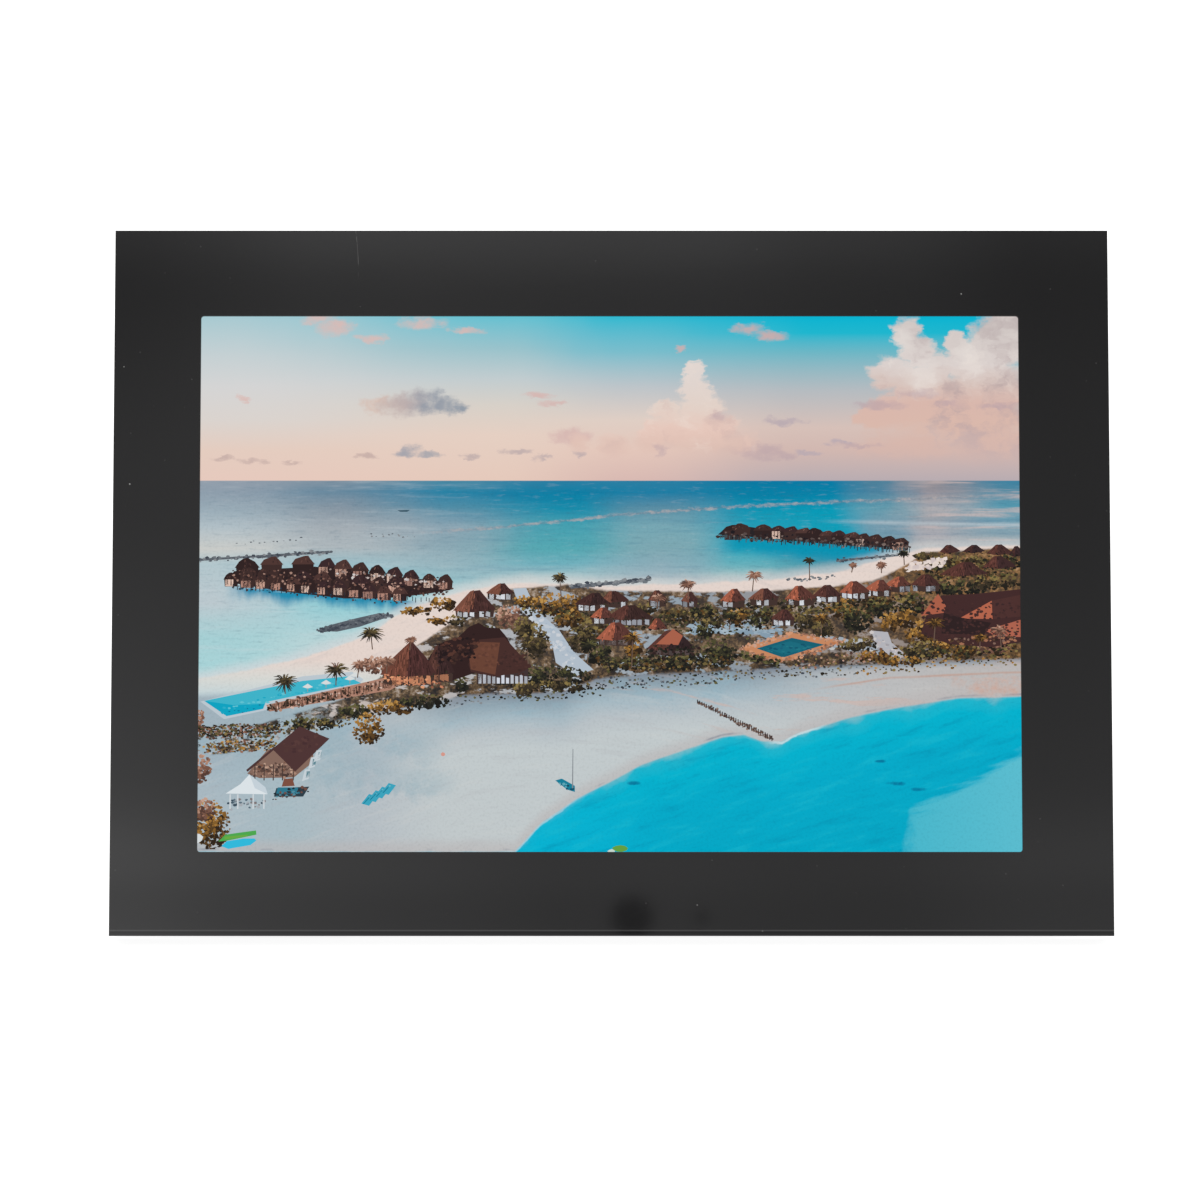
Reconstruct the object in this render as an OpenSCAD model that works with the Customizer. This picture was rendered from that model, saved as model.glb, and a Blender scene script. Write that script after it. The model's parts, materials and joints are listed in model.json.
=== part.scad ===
// Digital photo frame, 10.1 inch class, standing on its easel leg.
// The frame is described upright: X to the right, Z up along the face, Y from the face to the back.
// Every piece is then leaned back together, so that its feet stand flat on Z = 0.

/* [Front] */
// Overall width of the frame
frame_w = 261; // [257:1:275]
// Overall height of the frame along its face
frame_h = 185; // [183:1:190]
// Thickness of the flat front plate
plate_t = 2.4; // [2.3:0.1:2.4]
// Thickness of the lip around the picture
lip_t = 1; // [0.8:0.1:1]
// Depth of the rim, from the face to its rear edge
rim_d = 9; // [9:0.1:9.4]
// Thickness of the rim's wall
rim_wall = 2.2; // [1.8:0.1:2.2]
// Angle at which the frame leans back from upright
lean = 18; // [15:1:20]

/* [Picture window] */
// Width of the visible picture
window_w = 214.6; // [205:0.1:215]
// Height of the visible picture
window_h = 140.5; // [135:0.1:141]
// Corner radius of the window
window_r = 0.7; // [0.5:0.1:1.5]
// Sideways offset of the window from the middle of the face
window_dx = -0.45; // [-0.6:0.05:0.6]
// Upward offset of the window from the middle of the face
window_dz = -0.45; // [-0.6:0.05:0.6]

/* [Rear cover] */
// Total depth of the frame from face to back
body_d = 22; // [22:0.1:22.5]
// Wall thickness of the rear cover
cover_t = 2; // [1.8:0.1:2]
// Distance of the raised rear box from the frame's outline
box_inset = 8; // [7.8:0.1:8]
// Corner radius of the raised box, seen from behind
box_corner_r = 9; // [6:1:12]
// Radius of the raised box's rear edges
box_edge_r = 5; // [3:0.5:6]
// Width of one cooling slot
vent_w = 2; // [1.5:0.1:3]
// Length of one cooling slot
vent_len = 34; // [20:1:40]

/* [Stand] */
// Height of the stand's hinge pin above the bottom of the face
hinge_z = 118; // [115:1:122]
// Angle between the open leg and the back of the frame
leg_open = 31; // [28:1:33]
// Width of the leg at its hinge
leg_w_top = 56; // [40:1:60]
// Width of the leg at its foot
leg_w_foot = 42; // [30:1:50]
// Thickness of the leg
leg_t = 3; // [2.8:0.1:3]
// Radius of the steel hinge pin
pin_r = 1.5; // [1.2:0.1:1.5]

/* [Buttons] */
// Distance of the button row from the middle of the frame
button_x = 108; // [104:1:109]
// Height of the lowest button
button_z = 66; // [60:1:70]
// Distance from one button to the next
button_pitch = 13; // [11:1:14]
// Width of a button cap
button_w = 9; // [7:0.5:10]
// Height of a button cap
button_h = 5; // [4:0.5:6]
// Travel of a button
button_travel = 0.4; // [0.2:0.1:0.4]

/* [Ports] */
// Height of the power inlet above the bottom of the face
dc_z = 58; // [57:1:59]
// Height of the USB socket
usb_z = 75; // [73:1:76]
// Height of the memory card slot
card_z = 98; // [97:1:100]

/* [Feet] */
// Distance of each bottom foot from the middle of the frame
foot_x = 86; // [70:1:95]
// Length of a bottom foot
foot_w = 34; // [20:1:40]
// Thickness of the rubber under each foot
foot_t = 1.6; // [1:0.1:2]
// Air between the rim's lowest edge and the table
rim_gap = 0.5; // [0.4:0.1:1]

/* [Hidden] */
$fn = 48;
eps = 0.01;
// Play between neighbouring sheets and shells
gap = 0.05;
loose = 0.2;

// Middle of the face and of the window
mid_z = frame_h / 2;
win_x = window_dx;
win_z = mid_z + window_dz;

// Rear cover, from the outside in
rim_plate_t = 2;
rim_plate_y = rim_d - rim_plate_t;
box_w = frame_w - 2 * box_inset;
box_h = frame_h - 2 * box_inset;
back_in = body_d - cover_t;
cavity_w = box_w - 2 * cover_t;
cavity_h = box_h - 2 * cover_t;
box_left = -box_w / 2;
cavity_left = -cavity_w / 2;

// Display module: outer size and the depth at which each layer starts
module_w = 226;
module_h = 152;
module_play = 0.8;
gasket_t = 0.3;
gasket_lap = 1;
bezel_t = 0.3;
bezel_lap = 1.5;
bezel_r = 1;
film_t = 0.2;
film_lap = 2.2;
glass_w = 222;
glass_h = 147;
glass_t = 1;
guide_t = 1.8;
reflector_t = 0.15;
ring_w = 223.6;
ring_h = 149;
ring_in_h = 146;
tray_w = 225;
tray_h = 150.2;
tray_t = 0.4;
tray_front = 3.6;
bezel_y = lip_t + gasket_t;
polariser_y = bezel_y + bezel_t + gap;
glass_y = polariser_y + film_t + gap;
diffuser_y = glass_y + glass_t + gap;
prism_y = diffuser_y + film_t + gap;
guide_y = prism_y + film_t + gap;
reflector_y = guide_y + guide_t + gap;
tray_y = reflector_y + reflector_t + gap;
module_back = tray_y + tray_t;
module_bottom = win_z - module_h / 2;
light_w = 220;
light_h = 142;
light_z = win_z + 1.6;

// Lamps along the lower edge of the light guide
lamp_count = 24;
lamp_pitch = 8.8;
lamp_w = 3.4;
lamp_h = 0.9;
lamp_inset = 0.2;
lamp_strip_w = 216;
lamp_strip_t = 0.4;
lamp_strip_z = light_z - light_h / 2 - 1.8;

// Driver board behind the display's lower edge, and the films that lead to it
driver_w = 196;
driver_h = 8;
driver_t = 0.75;
driver_z = module_bottom + 9.6;
driver_y = module_back + gap;
driver_back = driver_y + driver_t;
driver_chip_w = 7;
driver_chip_h = 2.4;
driver_chip_t = 0.7;
driver_chip_pitch = 26;
flex_t = 0.12;
flex_half = 12;
flex_pitch = 40;
flex_bottom = module_bottom + bezel_t + 0.15;

// Insulating sheet behind the display
sheet_w = 170;
sheet_h = 104;
sheet_t = 0.15;
sheet_x = -30;
sheet_z = 90;

// Brackets that hold the display module
bracket_x = 80;
bracket_dz = module_h / 2 + 3.8;
bracket_y = module_back + gap;
bracket_t = 0.8;
bracket_w = 13;
bracket_h = 11;
bracket_spots = [
    for (sx = [-1, 1], sz = [-1, 1])
        [win_x + sx * bracket_x, win_z + sz * bracket_dz, win_z + sz * (bracket_dz - 3)]
];

// Screws: radius of the shank and of the head, and the play of a hole
screw_r = 1;
screw_head_r = 2.1;
screw_head_t = 1.2;
screw_hole_r = screw_r + 0.03;
screw_pass_r = screw_r + 0.25;
screw_recess_w = 2.4;
screw_recess_h = 1.4;
boss_r = 2.6;
small_boss_r = 2.2;
rim_hole_y = 3.2;
bracket_hole_y = 2.6;
rim_screw_side_x = frame_w / 2 - rim_wall - boss_r - 0.3;
rim_screw_end_z = mid_z - rim_wall - boss_r - 0.3;
rim_screw_spots = concat(
    [for (sx = [-1, 1], sz = [-1, 0, 1]) [sx * rim_screw_side_x, mid_z + sz * 80]],
    [for (sx = [-1, 1], sz = [-1, 1]) [sx * 60, mid_z + sz * rim_screw_end_z]]
);

// Main circuit board
board_x0 = cavity_left + 2.1;
board_w = 80;
board_h = 80;
board_cx = board_x0 + board_w / 2;
board_cz = 82;
board_y = 9.6;
board_t = 1.6;
board_back = board_y + board_t;
board_screw_spots = [
    [-104, 47],
    [-104, 117],
    [-44, 47],
    [-44, 117]
];

// What the main board carries: places are x and z, sizes are width, height and thickness
cpu_x = -66;
cpu_z = 92;
cpu_w = 15;
cpu_t = 1.2;
sink_w = 18;
sink_base_t = 1.2;
sink_fin_t = 1;
sink_fin_h = 3.2;
sink_fin_pitch = 2.8;
memory_chip_list = [
    [-66, 110.5, 9, 12, 1],
    [-50, 92, 8, 12, 1],
    [-52, 75, 11, 13, 1.1]
];
wifi_x = -84;
wifi_z = 110;
wifi_board = [17, 14, 0.75];
wifi_can = [15, 11.5, 1.6];
capacitor_list = [
    [-96, 66, 3],
    [-89, 66, 3],
    [-96, 74.5, 2.5],
    [-89.5, 74, 2.5]
];
capacitor_t = 6.35;
inductor_w = 6.6;
inductor_t = 3.05;
inductor_spots = [
    [-80, 62],
    [-80, 71]
];
driver_chip_list = [
    [-64, 66, 6, 8, 1.4],
    [-64, 54, 5, 5, 1]
];
battery_x = -53;
battery_z = 60;
battery_r = 6.25;
battery_t = 2.05;
holder_r = 7.6;
holder_t = 2.95;
ribbon_x = -52;
ribbon_half = 9;
ribbon_t = 0.2;
connector_w = 22;
connector_h = 6;
connector_t = 2;
connector_z = 59;

// Printed aerial on the inside of the cover's top wall
aerial_x = -10;
aerial_w = 42;
aerial_y0 = 9.5;
aerial_y1 = 16.5;
aerial_z = frame_h - box_inset - cover_t - 0.15;

// Ports on the left-hand wall of the box
port_x = box_left + 0.2;
jack_r = 3.9;
jack_mouth_r = 3.2;
jack_mouth_len = 4.5;
jack_half = 4.35;
jack_y = board_back + gap + jack_half;
jack_body_x = cavity_left + 3.2;
jack_body_len = 12;
jack_barrel_r = 2.9;
jack_pin_r = 0.65;
usb_w = 13.2;
usb_t = 5.8;
usb_len = 14.5;
usb_shell_t = 0.4;
usb_y = board_back + gap + usb_t / 2;
card_w = 28;
card_t = 2.9;
card_len = 27;
card_wall_t = 0.3;
card_side_w = 1.8;
card_mouth_w = 25;
reset_r = 0.8;
reset_z = card_z + 20;
card_y = board_back + gap + card_t / 2;

// Loudspeakers
speaker_x = 88;
speaker_z = 31;
speaker_r = 14;
speaker_gasket_t = 0.5;
speaker_gasket_in_r = 12.4;
speaker_back = back_in - gap;
speaker_face = speaker_back - speaker_gasket_t - gap;
grille_rings = 3;
grille_hole_r = 0.9;
grille_pitch = 3.4;
lead_r = 0.6;
lead_pitch = 1.5;
lead_y = board_back + gap + lead_r;
lead_x = -speaker_x - 10.5;
lead_z = speaker_z - 10.5;

// Cooling slots, a group on each side of the leg
vent_count = 7;
vent_x0 = 48;
vent_pitch = 6.5;
vent_z = 88;

// Buttons and the small board behind them
button_count = 6;
key_board_t = 1.2;
key_board_y = 14.2;
key_board_back = key_board_y + key_board_t;
key_board_w = 14;
key_board_end = 14;
key_board_z0 = button_z - key_board_end;
key_board_z1 = button_z + (button_count - 1) * button_pitch + key_board_end;
key_board_screw_in = 4.5;
key_board_screw_spots = [
    [button_x, key_board_z0 + key_board_screw_in],
    [button_x, key_board_z1 - key_board_screw_in]
];
switch_w = 6;
switch_h = 3.6;
switch_t = 1.8;
switch_tip_r = 1.2;
switch_tip = key_board_back + gap + switch_t + 0.6;
button_proud = 0.9;
button_play = 0.15;
button_flange_t = 0.9;
button_flange_out = 1;
button_stem_r = 1.5;
key_ribbon_h = 8;
key_ribbon_z = 104;

// Wall hangers
hanger_x = 70;
hanger_z = 150;
hanger_t = 1;
hanger_w = 20;
hanger_h = 30;
hanger_rise = 3;
hanger_front = back_in - gap - hanger_t;
keyhole_r = 4;
keyhole_slot_r = 2.1;
keyhole_rise = 7;
keyhole_play = 1.4;
keyhole_rim_t = 0.9;
keyhole_rim_end = body_d - 0.3;
rivet_r = 1.2;
rivet_dz = [-8, 14];

// Stand: the hinge pin, the leg's own thickness about it, and the heel that stops it
hinge_y = body_d - 2.6;
knuckle_r = 2.6;
leg_in = hinge_y - (body_d - leg_t);
leg_out = body_d - hinge_y;
heel = 5;
heel_depth = leg_in * cos(leg_open) + heel * sin(leg_open);
pocket_y = hinge_y - heel_depth - 0.1;
recess_y = body_d - leg_t - 0.6;
recess_wall = 1.6;
side_play = 1.1;
ear_w = 7;
ear_h = 14;
ear_z = hinge_z + 0.5;
pocket_h = 11.5;
pocket_z = hinge_z + 1;
leg_play = 0.06;
washer_r = 2.4;
pin_len = leg_w_top + 2 * side_play + 2 * (ear_w - 1);
washer_t = 0.8;

// Height of the hinge over the table, and the open leg's length and slant
drop = rim_d * sin(lean) + rim_gap;
hinge_up = hinge_z * cos(lean) - hinge_y * sin(lean) + drop;
leg_slant = leg_open - lean;
leg_len = hinge_up / cos(leg_slant);
pad_len = 7;
tongue_w = 24;
tongue_t = 1.2;
tongue_len = 3;
tongue_y = 0.5;
pad_top = pad_len / cos(leg_slant);
groove_t = 0.6;
groove_in = 5.5;
groove_z0 = 26;
groove_z1 = hinge_z - 14;
groove_top_in = 8;
taper_z = hinge_z - 12;

// Foot line: the table's surface, as a height over the bottom of the face at depth y
function table_z(y) = (y * sin(lean) - drop) / cos(lean);
foot_y0 = 10.7;
foot_y1 = 16.8;
foot_rise = foot_t / cos(lean);

// Place of the whole object: the box around it is centred on X = 0, Y = 0 and rests on Z = 0
hinge_back = hinge_y * cos(lean) + hinge_z * sin(lean);
rear_reach = hinge_back + hinge_up * tan(leg_slant) + leg_out / cos(leg_slant);
center_y = rear_reach / 2;

// ---------------------------------------------------------------- placing and basic shapes

// Leans upright pieces back and stands them on Z = 0
module standing() {
    translate([0, -center_y, drop])
        rotate([-lean, 0, 0])
            children();
}

// Flat rectangle with round corners, centred
module rounded(w, h, r) {
    if (r <= 0) {
        square([w, h], center = true);
    } else {
        square([w - 2 * r, h], center = true);
        square([w, h - 2 * r], center = true);
        for (sx = [-1, 1], sy = [-1, 1])
            translate([sx * (w / 2 - r), sy * (h / 2 - r)])
                circle(r = r);
    }
}

// Turns a flat outline in X and Z into a plate from depth y0 to depth y1
module plate(y0, y1) {
    translate([0, y1, 0])
        rotate([90, 0, 0])
            linear_extrude(y1 - y0)
                children();
}

// Rectangular plate centred on (cx, cz)
module slab(w, h, y0, y1, cx = 0, cz = mid_z, r = 0) {
    plate(y0, y1)
        translate([cx, cz])
            rounded(w, h, r);
}

// Round bar along Y
module post(r, y0, y1, x, z) {
    translate([x, y1, z])
        rotate([90, 0, 0])
            cylinder(r = r, h = y1 - y0);
}

// Flat outline in Y and Z stretched along X from x0 to x1
module bar(x0, x1) {
    translate([x0, 0, 0])
        rotate([90, 0, 90])
            linear_extrude(x1 - x0)
                children();
}

// Round bar along X
module rod(r, x0, x1, y, z) {
    translate([x0, y, z])
        rotate([0, 90, 0])
            cylinder(r = r, h = x1 - x0);
}

// Shape turned about an axis along Y through (x, z); its outline is radius against depth
module turned(x, z) {
    translate([x, 0, z])
        rotate([-90, 0, 0])
            rotate_extrude()
                children();
}

// Pan-head screw driven from behind, its head from head_y to the rear, with a crossed recess
module screw(x, z, head_y, reach) {
    difference() {
        union() {
            post(screw_r, head_y - reach, head_y + eps, x, z);
            post(screw_head_r, head_y, head_y + screw_head_t, x, z);
        }
        for (turn = [0, 90])
            translate([x, head_y + screw_head_t, z])
                rotate([0, turn, 0])
                    cube([screw_recess_w, screw_recess_h, 0.5], center = true);
    }
}

// Points of a quarter or half turn, from angle a0 to a1
function arc(cx, cy, r, a0, a1, steps) =
    [for (i = [0:steps]) let (a = a0 + (a1 - a0) * i / steps) [cx + r * cos(a), cy + r * sin(a)]];

// Outline of a box seen along its wall: flat at depth y0, with round edges at depth y1
module round_backed(half, y0, y1, r) {
    polygon(concat(
        [[-half, y0], [half, y0]],
        arc(half - r, y1 - r, r, 0, 90, 5),
        arc(r - half, y1 - r, r, 90, 180, 5)
    ));
}

// Shallow box with round corners and round rear edges
module back_box(w, h, y0, y1, corner_r, edge_r) {
    intersection() {
        slab(w, h, y0, y1, 0, mid_z, corner_r);
        translate([0, 0, mid_z - h])
            linear_extrude(2 * h)
                round_backed(w / 2, y0, y1, edge_r);
        translate([-w, 0, mid_z])
            rotate([90, 0, 90])
                linear_extrude(2 * w)
                    rotate(-90)
                        mirror([1, 0])
                            round_backed(h / 2, y0, y1, edge_r);
    }
}

// ---------------------------------------------------------------- front

// Flat wide face with its rim, the pocket for the display and the screw bosses
module front_frame() {
    color([0.13, 0.13, 0.13]) standing() {
        difference() {
            union() {
                slab(frame_w, frame_h, 0, plate_t);
                difference() {
                    slab(frame_w, frame_h, plate_t - eps, rim_d);
                    slab(
                        frame_w - 2 * rim_wall, frame_h - 2 * rim_wall,
                        plate_t - 2 * eps, rim_d + 1
                    );
                }
                for (p = rim_screw_spots)
                    post(boss_r, plate_t - eps, rim_plate_y - gap, p[0], p[1]);
                for (p = bracket_spots)
                    post(small_boss_r, plate_t - eps, module_back, p[0], p[1]);
            }
            slab(window_w, window_h, -1, plate_t + 1, win_x, win_z, window_r);
            slab(
                module_w + 2 * module_play, module_h + 2 * module_play,
                lip_t, plate_t + 1, win_x, win_z
            );
            for (p = rim_screw_spots)
                post(screw_hole_r, rim_hole_y, rim_d, p[0], p[1]);
            for (p = bracket_spots)
                post(screw_hole_r, bracket_hole_y, module_back + 1, p[0], p[1]);
        }
    }
}

// ---------------------------------------------------------------- display module

// Soft black foam between the lip and the display
module panel_gasket() {
    color([0.08, 0.08, 0.08]) standing() difference() {
        slab(module_w - 1, module_h - 1, lip_t, bezel_y, win_x, win_z);
        slab(
            window_w + 2 * gasket_lap, window_h + 2 * gasket_lap,
            lip_t - 1, bezel_y + 1, win_x, win_z
        );
    }
}

// Pressed steel frame around the edge of the display
module panel_bezel() {
    color([0.62, 0.63, 0.65]) standing() difference() {
        slab(module_w, module_h, bezel_y, module_back - bezel_t, win_x, win_z, bezel_r);
        slab(
            window_w + 2 * bezel_lap, window_h + 2 * bezel_lap,
            bezel_y - 1, module_back, win_x, win_z
        );
        slab(
            module_w - 2 * bezel_t, module_h - 2 * bezel_t,
            bezel_y + bezel_t, module_back, win_x, win_z, bezel_r - bezel_t
        );
    }
}

// Glossy film that the picture is seen through
module screen_polariser() {
    color([0.25, 0.55, 0.65]) standing()
        slab(
            window_w + 2 * film_lap, window_h + 2 * film_lap,
            polariser_y, polariser_y + film_t, win_x, win_z
        );
}

module panel_glass() {
    color([0.7, 0.78, 0.78]) standing()
        slab(glass_w, glass_h, glass_y, glass_y + glass_t, win_x, win_z);
}

// Moulded ring that holds the films and the light guide
module panel_frame() {
    color([0.9, 0.9, 0.88]) standing() difference() {
        slab(ring_w, ring_h, diffuser_y, tray_y - gap, win_x, win_z);
        slab(light_w + 2 * tray_t, ring_in_h, diffuser_y - 1, tray_y, win_x, win_z);
    }
}

module light_layer(y0, t) {
    slab(light_w, light_h, y0, y0 + t, win_x, light_z);
}

module diffuser_sheet() {
    color([0.96, 0.96, 0.96]) standing() light_layer(diffuser_y, film_t);
}

module prism_sheet() {
    color([0.85, 0.9, 0.92]) standing() light_layer(prism_y, film_t);
}

module light_guide() {
    color([0.8, 0.92, 0.95]) standing() light_layer(guide_y, guide_t);
}

module reflector_sheet() {
    color([0.98, 0.98, 0.98]) standing() light_layer(reflector_y, reflector_t);
}

// Lamp strip along the lower edge of the light guide
module led_strip() {
    color([0.95, 0.92, 0.8]) standing()
        slab(lamp_strip_w, lamp_strip_t, guide_y, guide_y + guide_t, win_x, lamp_strip_z);
}

module backlight_leds() {
    color([1, 0.95, 0.6]) standing()
        for (i = [0:lamp_count - 1])
            slab(
                lamp_w, lamp_h, guide_y + lamp_inset, guide_y + guide_t - lamp_inset,
                win_x + (i - (lamp_count - 1) / 2) * lamp_pitch,
                lamp_strip_z + (lamp_strip_t + lamp_h) / 2 + gap
            );
}

// Steel back of the display, folded forward at its edges
module backlight_tray() {
    color([0.7, 0.71, 0.72]) standing() difference() {
        slab(tray_w, tray_h, tray_front, module_back, win_x, win_z);
        slab(tray_w - 2 * tray_t, tray_h - 2 * tray_t, tray_front - 1, tray_y, win_x, win_z);
    }
}

module driver_board() {
    color([0.1, 0.35, 0.22]) standing() {
        slab(driver_w, driver_h, driver_y, driver_back, win_x, driver_z);
        for (i = [-3:3])
            slab(
                driver_chip_w, driver_chip_h, driver_back - eps, driver_back + driver_chip_t,
                win_x + i * driver_chip_pitch + 6, driver_z
            );
    }
}

// Thin films that lead from the glass round the display's lower edge to its driver board
module driver_flex() {
    front_y = glass_y + glass_t / 2;
    rear_y = driver_back - 0.2;
    color([0.75, 0.5, 0.2]) standing()
        for (i = [-1.5:1.5])
            bar(win_x + i * flex_pitch - flex_half, win_x + i * flex_pitch + flex_half) {
                translate([front_y, flex_bottom])
                    square([flex_t, (module_h - glass_h) / 2 - bezel_t - 0.2]);
                translate([front_y, flex_bottom])
                    square([rear_y - front_y + flex_t - eps, flex_t]);
                translate([rear_y, flex_bottom])
                    square([flex_t, driver_z - driver_h / 2 - 0.1 - flex_bottom]);
            }
}

// Brackets that clamp the display to bosses on the front frame
module panel_brackets() {
    color([0.75, 0.75, 0.77]) standing()
        for (p = bracket_spots)
            difference() {
                slab(bracket_w, bracket_h, bracket_y, bracket_y + bracket_t, p[0], p[2]);
                post(screw_pass_r, bracket_y - 1, bracket_y + 2, p[0], p[1]);
            }
}

module bracket_screws() {
    color([0.5, 0.5, 0.52]) standing()
        for (p = bracket_spots)
            screw(p[0], p[1], bracket_y + bracket_t, 3.4);
}

module insulation_sheet() {
    color([0.15, 0.15, 0.17]) standing()
        slab(sheet_w, sheet_h, driver_y, driver_y + sheet_t, sheet_x, sheet_z, 4);
}

// Flat ribbon from the driver board up to the main board
module panel_ribbon() {
    low_y = module_back + 0.95;
    top_y = board_y - connector_t / 2;
    low_z = driver_z + driver_h / 2 + 0.2;
    bend_z = connector_z - 15;
    straight_z = connector_z - 9;
    top_z = connector_z - connector_h / 2;
    color([0.85, 0.85, 0.83]) standing()
        bar(ribbon_x - ribbon_half, ribbon_x + ribbon_half)
            polygon([
                [low_y, low_z], [low_y + ribbon_t, low_z],
                [low_y + ribbon_t, bend_z], [top_y, straight_z], [top_y, top_z],
                [top_y - ribbon_t, top_z], [top_y - ribbon_t, straight_z + 0.1],
                [low_y, bend_z + 0.1]
            ]);
}

module ribbon_connector() {
    color([0.93, 0.93, 0.9]) standing() difference() {
        slab(connector_w, connector_h, board_y - connector_t, board_y - gap, ribbon_x, connector_z);
        slab(
            2 * ribbon_half + 0.6, connector_h - 1, board_y - connector_t / 2 - 0.3,
            board_y - connector_t / 2 + 0.1, ribbon_x, connector_z - 2
        );
    }
}

// ---------------------------------------------------------------- main board

module main_board() {
    color([0.05, 0.3, 0.18]) standing() difference() {
        slab(board_w, board_h, board_y, board_back, board_cx, board_cz, 1.5);
        for (p = board_screw_spots)
            post(screw_pass_r, board_y - 1, board_back + 1, p[0], p[1]);
    }
}

// Chip on the rear side of the main board
module chip(x, z, w, h, t) {
    slab(w, h, board_back + gap, board_back + gap + t, x, z);
}

module main_processor() {
    color([0.12, 0.12, 0.13]) standing() chip(cpu_x, cpu_z, cpu_w, cpu_w, cpu_t);
}

// Finned aluminium block stuck on the processor
module heat_sink() {
    base = board_back + 2 * gap + cpu_t;
    fins = base + sink_base_t - 0.2;
    color([0.78, 0.79, 0.8]) standing() {
        slab(sink_w, sink_w, base, base + sink_base_t, cpu_x, cpu_z);
        for (i = [-3:3])
            slab(
                sink_fin_t, sink_w, fins, fins + sink_fin_h, cpu_x + i * sink_fin_pitch, cpu_z
            );
    }
}

module memory_chips() {
    color([0.1, 0.1, 0.11]) standing()
        for (c = memory_chip_list)
            chip(c[0], c[1], c[2], c[3], c[4]);
}

// Shielding can over the radio
module wifi_module() {
    base = board_back + gap;
    lid = base + wifi_board[2];
    color([0.76, 0.76, 0.78]) standing() {
        slab(wifi_board[0], wifi_board[1], base, lid, wifi_x, wifi_z);
        slab(wifi_can[0], wifi_can[1], lid - eps, lid + wifi_can[2], wifi_x, wifi_z, 0.6);
    }
}

module wifi_antenna() {
    color([0.8, 0.62, 0.25]) standing() {
        slab(aerial_w, 0.2, aerial_y0, aerial_y1, aerial_x, aerial_z);
        slab(7, 1.2, aerial_y0 + 2.5, aerial_y1 - 2.5, aerial_x - 16, aerial_z - 0.75);
    }
}

module board_capacitors() {
    color([0.55, 0.57, 0.62]) standing()
        for (c = capacitor_list)
            post(c[2], board_back + gap, board_back + gap + capacitor_t, c[0], c[1]);
}

module power_inductors() {
    color([0.3, 0.3, 0.32]) standing()
        for (p = inductor_spots)
            slab(
                inductor_w, inductor_w, board_back + gap, board_back + gap + inductor_t,
                p[0], p[1], 1.2
            );
}

// Small resistors, capacitors and driver chips
module chip_parts() {
    color([0.62, 0.5, 0.36]) standing() {
        for (i = [0:6], j = [0:2])
            chip(-91 + i * 4, 51 + j * 3, 1.8, 1, 0.7);
        for (i = [0:8])
            chip(-78, 80 + i * 2.4, 1, 1.4, 0.6);
        for (i = [0:7])
            chip(-56 + i * 2, 83, 0.9, 1.6, 0.6);
        for (c = driver_chip_list)
            chip(c[0], c[1], c[2], c[3], c[4]);
    }
}

module battery_holder() {
    color([0.14, 0.14, 0.15]) standing() difference() {
        post(holder_r, board_back + gap, board_back + gap + holder_t, battery_x, battery_z);
        post(battery_r + 0.1, board_back + 1, board_back + 4, battery_x, battery_z);
    }
}

module clock_battery() {
    base = board_back + 1 + gap;
    color([0.8, 0.8, 0.8]) standing()
        post(battery_r, base, base + battery_t, battery_x, battery_z);
}

// Screws that hold the main board and the button board to the rear cover, driven from the front
module board_screws() {
    color([0.55, 0.55, 0.57]) standing() {
        for (p = board_screw_spots)
            translate([0, 2 * board_y, 0])
                mirror([0, 1, 0])
                    screw(p[0], p[1], board_y, 6);
        for (p = key_board_screw_spots)
            translate([0, 2 * key_board_y, 0])
                mirror([0, 1, 0])
                    screw(p[0], p[1], key_board_y, 4.6);
    }
}

// ---------------------------------------------------------------- ports

// Round power inlet with a wide mouth and a narrower barrel behind it
module dc_jack() {
    color([0.1, 0.1, 0.1]) standing() difference() {
        union() {
            rod(jack_r, port_x, jack_body_x + 4, jack_y, dc_z);
            translate([jack_body_x, jack_y - jack_half, dc_z - 4.5])
                cube([jack_body_len, 2 * jack_half - 0.1, 9]);
        }
        rod(jack_mouth_r, port_x - 1, port_x + jack_mouth_len, jack_y, dc_z);
        rod(
            jack_barrel_r, port_x + jack_mouth_len - eps,
            jack_body_x + jack_body_len - 1.5, jack_y, dc_z
        );
    }
}

module dc_contact() {
    color([0.85, 0.83, 0.75]) standing()
        rod(
            jack_pin_r, port_x + jack_mouth_len + 0.3,
            jack_body_x + jack_body_len - 4.5, jack_y, dc_z
        );
}

module usb_socket() {
    color([0.8, 0.8, 0.82]) standing() difference() {
        translate([port_x, usb_y - usb_t / 2, usb_z - usb_w / 2])
            cube([usb_len, usb_t, usb_w]);
        translate([port_x - 1, usb_y - usb_t / 2 + usb_shell_t, usb_z - usb_w / 2 + usb_shell_t])
            cube([usb_len + 0.1, usb_t - 2 * usb_shell_t, usb_w - 2 * usb_shell_t]);
    }
}

module usb_tongue() {
    color([0.95, 0.95, 0.95]) standing() {
        translate([port_x + 1.6, usb_y + 0.3, usb_z - 5.6])
            cube([12, 1.9, 11.2]);
        translate([port_x + 11.4, usb_y - usb_t / 2 + 0.45, usb_z - 6.1])
            cube([2.15, usb_t - 0.9, 12.2]);
    }
}

module card_socket() {
    color([0.78, 0.78, 0.8]) standing() difference() {
        translate([cavity_left + 0.2, card_y - card_t / 2, card_z - card_w / 2])
            cube([card_len, card_t, card_w]);
        translate([
            cavity_left - 1, card_y - card_t / 2 + card_wall_t, card_z - card_w / 2 + card_side_w
        ])
            cube([card_len - 1, card_t - 2 * card_wall_t, card_w - 2 * card_side_w]);
    }
}

// ---------------------------------------------------------------- loudspeakers

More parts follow.
